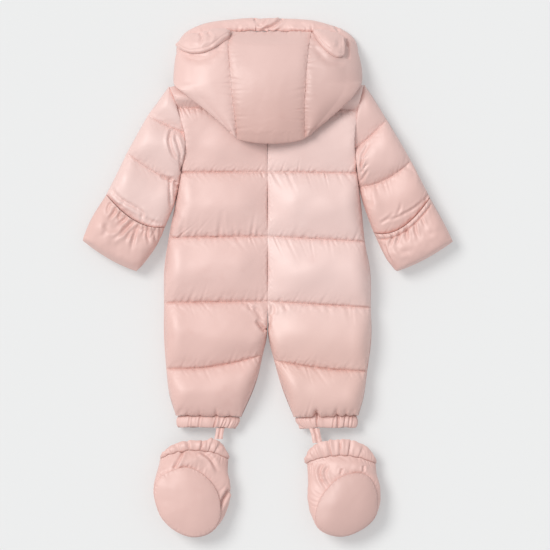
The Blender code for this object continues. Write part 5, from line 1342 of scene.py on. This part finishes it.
for number, side in enumerate(sides):
    bootie = booties[side]
    outline = bootie["outline"]
    count = booties["around"]
    angle, ankle = ankleRing(*bootie["ankle"], count, booties["ankleHalf"])
    middle = np.array(outline)[:, :2].mean(axis=0)
    x, y, bulge = soleOutline(outline, angle)
    away = np.stack((x, y), axis=-1) - middle
    away /= np.linalg.norm(away, axis=1, keepdims=True)
    finish = np.stack((x, y, soleHeight(x, y, bootie)), axis=-1)
    heel = (1 + np.sin(angle)) / 2
    first = ankle + (finish - ankle) * 0.42
    first[:, 2] = ankle[:, 2] * (1 - 0.5 * (1 - heel)) + 9 * heel
    second = finish.copy()
    second[:, :2] += away * (bulge * 1.7)[:, None]
    second[:, 2] = finish[:, 2] - 30 * (1 - heel) ** 0.7 + 4 * heel
    rings = []
    steps = np.linspace(0, 1, 46)
    for f in steps:
        g = 1 - f
        ring = ankle * g ** 3 + first * 3 * g * g * f + second * 3 * g * f * f + finish * f ** 3
        ring[:, 2] = np.maximum(ring[:, 2], 0.0)
        rings.append(ring)
    rings = np.array(rings)
    around = np.concatenate((rings[:, -1:], rings, rings[:, :1]), axis=1)
    down = np.gradient(rings, axis=0)
    over = (around[:, 2:] - around[:, :-2]) / 2
    normal = np.cross(down, over)
    normal /= np.maximum(np.linalg.norm(normal, axis=2, keepdims=True), 1e-9)
    centre = rings.mean(axis=(0, 1))
    if ((rings - centre) * normal).sum() < 0:
        normal = -normal
    inside = rings - normal * booties["wall"]
    atSole = finish.copy()
    atSole[:, :2] -= away * booties["wall"]
    atSole[:, 2] -= 0.2
    blendIn = np.clip((steps - 0.8) / 0.2, 0, 1)[:, None, None]
    inside = inside * (1 - blendIn) + atSole[None] * blendIn
    inside[-6:-1, :, 2] = np.minimum(inside[-6:-1, :, 2], finish[None, :, 2] - 2.0)
    _, inAnkle = ankleRing(*bootie["ankle"], count, booties["ankleHalf"], booties["wall"])
    start = np.clip(1 - steps / 0.2, 0, 1)[:, None, None]
    inside = inside * (1 - start) + inAnkle[None] * start
    inside[..., 2] = np.minimum(np.maximum(inside[..., 2], np.minimum(rings[..., 2] + 1.0, 8.0)), 60.0)
    # plump between the ankle and the sole, gathered into the sole seam, then the large folds
    shape = np.sin(math.pi * steps)[:, None]
    onFloor = roundOff(rings[..., 2] / 9.0)
    relief = shape * uneven(rings, (0.9, 34.0, 130 + number), (0.3, 12.0, 132 + number))
    relief += ringGathers(angle, 134 + number, 0.11, 0.7, (1 - steps) * 5.0) * np.clip((1 - steps) * 30, 0, 1)[:, None]
    relief += ringGathers(angle, 136 + number, 0.14, 0.9, steps * 4.5) * np.clip(steps * 20, 0, 1)[:, None]
    rings = rings + normal * (relief * onFloor)[..., None]
    rings[..., 1] += ankleWave(rings[..., 0], side) * (rings[..., 2] > 22) * np.clip(1 - steps * 9, 0, 1)[:, None]
    for fold in bootie["upperFolds"]:
        move, strength = foldRelief(fold, rings[..., 0], rings[..., 1])
        rings = rings + normal * (move * strength * np.clip(normal[..., 2] * 3 + 0.6, 0, 1))[..., None]
    rings[..., 2] = np.maximum(rings[..., 2], 0.0)
    piece = tube("bootie_upper_" + side, list(rings) + list(inside[::-3]), satin)

    # sole: a flat padded pad, softly crowned, stitched down a little inside its edge
    scales = np.concatenate(([0.975, 0.984, 0.98], np.linspace(0.97, 0.88, 7), np.linspace(0.84, 0.04, 14)))
    rises = np.concatenate(([0.3, 1.4, 2.6], 3.2 + booties["soleDome"] * (1 - scales[3:] ** 2) ** 0.78))
    centre = np.append(middle, 0.0)
    soleRings = []
    for scale, rise in zip(scales, rises):
        ring = centre + (np.stack((x, y, x * 0), axis=-1) - centre) * scale
        ring[:, 2] = soleHeight(ring[:, 0], ring[:, 1], bootie) + rise
        soleRings.append(ring)
    soleRings = np.array(soleRings)
    relief = uneven(soleRings, (0.7, 50.0, 140 + number), (0.12, 17.0, 142 + number))
    relief = relief * np.clip((0.97 - scales) * 12, 0, 1)[:, None]
    nearEdge = ((scales < 0.98) & (scales > 0.5))[:, None]
    relief += ringGathers(angle, 144 + number, 0.12, 0.7, np.clip(0.96 - scales, 0, 1) * 22) * nearEdge
    soleRings[..., 2] += relief
    piece = ended("bootie_sole_" + side, soleRings, satin if side == "left" else satinPaintedShade)

    # gathered elastic cuff
    around = booties["cuffAround"]
    outer, inner = [], []
    shares = np.array([f for f, _ in booties["cuffProfile"]])
    angles = np.arange(around) / around * 2 * math.pi
    gathers = ringGathers(angles, 150 + number, 0.30, 1.7, np.abs(shares - 0.7) * 1.2)
    gathers = gathers + ringGathers(angles, 152 + number, 0.12, 0.5, shares * 0.6)
    gathers *= (1 - 0.8 * shares ** 4)[:, None]
    for (f, widen), wave in zip(booties["cuffProfile"], gathers):
        x0, y0, half, lean = (a + (b - a) * f for a, b in zip(bootie["ankle"], bootie["cuff"]))
        y0 = bootie["ankle"][1] + 1.2 + (bootie["cuff"][1] - bootie["ankle"][1]) * f
        halfHeight = booties["ankleHalf"] - 2.0 * f + widen * 0.5
        angle2, ring = ankleRing(x0, y0, half + widen, lean, around, halfHeight, 0.0, 0.45 + 0.45 * f)
        out = ring - np.array((x0, y0, booties["ankleHeight"]))
        out /= np.linalg.norm(out, axis=1, keepdims=True)
        for place, size in bootie["cuffFolds"]:
            off = ring[:, 0] - place - (f - 0.3) * 0.3 * (place - x0)
            off = np.where(ring[:, 2] > booties["ankleHeight"], off, 99.0)
            wave = wave + (1 - 0.7 * f ** 4) * size * (0.45 * bell(np.abs(off) - 4.6, 2.6) - bell(off, 1.7))
        onTop = np.maximum(0.15, np.sin(angle2) * 0.5 + 0.6)
        ring = ring + out * (wave * onTop)[:, None]
        middleX, reach, up = bootie["raised"]
        ring[:, 1] += up * f * np.exp(-((ring[:, 0] - middleX) / reach) ** 4) * (ring[:, 2] > booties["ankleHeight"])
        ring[:, 1] += f * 0.9 * ripple(ring[:, 0], ring[:, 2], 16.0, 156 + number)
        ring[:, 1] += ankleWave(ring[:, 0], side) * (ring[:, 2] > 22) * np.clip(1 - f * 3, 0, 1)
        ring[:, 2] = np.maximum(ring[:, 2], 0.0)
        outer.append(ring)
        _, low = ankleRing(x0, y0, half + widen, lean, around, halfHeight, booties["cuffWall"] + 2.6, 0.45 + 0.45 * f)
        inner.append(low)
    piece = tube("bootie_cuff_" + side, outer + [inner[-1], inner[4], inner[0]], satin)
print("booties made")

# ---- straps from the leg cuffs to the booties
straps = {
    "left": [(-76.5, -242.6, 22, 6.8), (-78, -251.5, 24.5, 6.4), (-79.5, -260.5, 26, 7)],
    "right": [(75.5, -242.9, 22, 8.5), (78, -252, 24.5, 7.6), (81, -266.8, 26, 7.8)],
    "thickness": 2.6, "rows": 26, "columns": 30,
    "shape": [(-1, 0), (-0.72, 1.1), (-0.42, 1.5), (-0.16, 0.6), (0.02, -0.7), (0.2, 0.4), (0.5, 1.2), (0.78, 0.7),
              (1, 0)],
}
for side in sides:
    rows = straps[side]
    t = np.linspace(0, 2, straps["rows"])
    x, y, z, half = (spline(columnOf(rows, k), t) for k in range(4))
    k = np.linspace(0, len(straps["shape"]) - 1, straps["columns"])
    across, up = (spline(columnOf(straps["shape"], c), k) for c in (0, 1))
    top = np.stack((x[:, None] + half[:, None] * across, y[:, None] + 0 * across,
                    z[:, None] + straps["thickness"] + up), axis=-1)
    top[..., 2] += uneven(top, (0.25, 7.0, 160))
    low = top.copy()
    low[..., 2] = z[:, None] + up
    piece = shell("strap_" + side, top, low, satin)
print("straps made")

# ---- front zip: tape with teeth, closed, underneath
zipParts = {"half": 6.0, "thickness": 3.0, "from": -37.0, "to": 300.0, "top": 21.85, "toothPitch": 3.0,
            "tapeColours": [(0.0, (0.50, 0.25, 0.23, 1)), (1.0, (0.66, 0.38, 0.35, 1))]}


def addBox(points, faces, x0, x1, y0, y1, z0, z1):
    first = len(points)
    points += [(x, y, z) for z in (z0, z1) for x, y in ((x0, y0), (x1, y0), (x1, y1), (x0, y1))]
    boxFaces = [(3, 2, 1, 0), (4, 5, 6, 7), (0, 1, 5, 4), (1, 2, 6, 5), (2, 3, 7, 6), (3, 0, 4, 7)]
    faces += [tuple(first + i for i in face) for face in boxFaces]


tape = bpy.data.materials.new("zip_tape_woven")
shader = Shader(tape)
place = shader.add("ShaderNodeTexCoord", out=3)
rib = shader.add("ShaderNodeTexWave", {"bands_direction": "Y"},
                 {"Vector": place, "Scale": 380.0, "Distortion": 0.4}, out=1)
bump = shader.add("ShaderNodeBump", {}, {"Strength": 0.5, "Distance": 0.0001, "Height": rib})
tint = shader.add("ShaderNodeValToRGB", {"stops": zipParts["tapeColours"]}, {0: rib})
surface = shader.add("ShaderNodeBsdfPrincipled", {}, {"Base Color": tint, "Roughness": 0.7, "Normal": bump})
shader.add("ShaderNodeOutputMaterial", {}, {"Surface": surface})
teeth = nylonMaterial("zip_teeth", 0.8, 0.35)
points, faces = [], []
low = zipParts["top"] - zipParts["thickness"]
for x0, x1 in ((-zipParts["half"], -0.3), (0.3, zipParts["half"])):
    addBox(points, faces, x0, x1, zipParts["from"], zipParts["to"], low + 1.0, zipParts["top"])
piece = addPiece("front_zip_tape", points, faces, tape, smooth=False)
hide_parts("front_zip")
points, faces = [], []
y = zipParts["from"] + 2.0
x0, x1 = -2.6, 0.9
while y < zipParts["to"] - 2:      # teeth from the left and the right in turn
    addBox(points, faces, x0, x1, y, y + 1.1, low, low + 2.2)
    y += zipParts["toothPitch"] / 2
    x0, x1 = -x1, -x0
piece = addPiece("front_zip_teeth", points, faces, teeth, smooth=False)
print("zip made")

# ---- stitches: one row of thread along each quilt line
stitches = {
    "length": 2.6, "pitch": 3.4, "radius": 0.32, "sides": 5, "lift": 0.22,
    "profile": [(0, 0.35, -0.5), (0.18, 0.95, 0), (0.5, 1, 0.25), (0.82, 0.95, 0), (1, 0.35, -0.5)],
}


def threadRow(line):      # thread segments along a line of points that already lie on the cloth
    steps = np.linalg.norm(np.diff(line, axis=0), axis=1)
    along = np.concatenate(([0.0], np.cumsum(steps)))
    points, faces = [], []
    for start in np.arange(1.5, along[-1] - stitches["length"], stitches["pitch"]):
        first = len(points)
        root, tip = (
            np.array([np.interp(end, along, line[:, c]) for c in range(3)])
            for end in (start, start + stitches["length"]))
        direction = (tip - root) / np.linalg.norm(tip - root)
        across = np.cross(direction, (0.0, 0.0, 1.0))
        across /= max(np.linalg.norm(across), 1e-6)
        over = np.cross(across, direction)
        for f, size, rise in stitches["profile"]:
            middle = root + (tip - root) * f + over * (stitches["lift"] + rise * stitches["radius"])
            for k in range(stitches["sides"]):
                turn = 2 * math.pi * k / stitches["sides"]
                points.append(middle + (across * math.cos(turn) + over * math.sin(turn)) * stitches["radius"] * size)
        ring = first + np.arange(len(points) - first).reshape(-1, stitches["sides"])
        faces += gridFaces(ring, wrap=True) + [list(ring[0])[::-1], list(ring[-1])]
    return points, faces


def stitchRows(name, lines):
    points, faces = [], []
    for line in lines:
        morePoints, moreFaces = threadRow(line)
        faces += [[i + len(points) for i in face] for face in moreFaces]
        points += morePoints
    piece = addPiece(name, points, faces, stitchThread, sharp=80)


for side in sides:
    for name in ("back_", "sleeve_back_"):
        part = paddedParts[name + side]
        last = int(part["finishedT"][-1])
        lines = [part["finished"][np.argmin(np.abs(part["finishedT"] - k)), 2:-2] for k in range(2, last, 2)]
        stitchRows(name + side + "_stitches", lines)
print("stitches made")
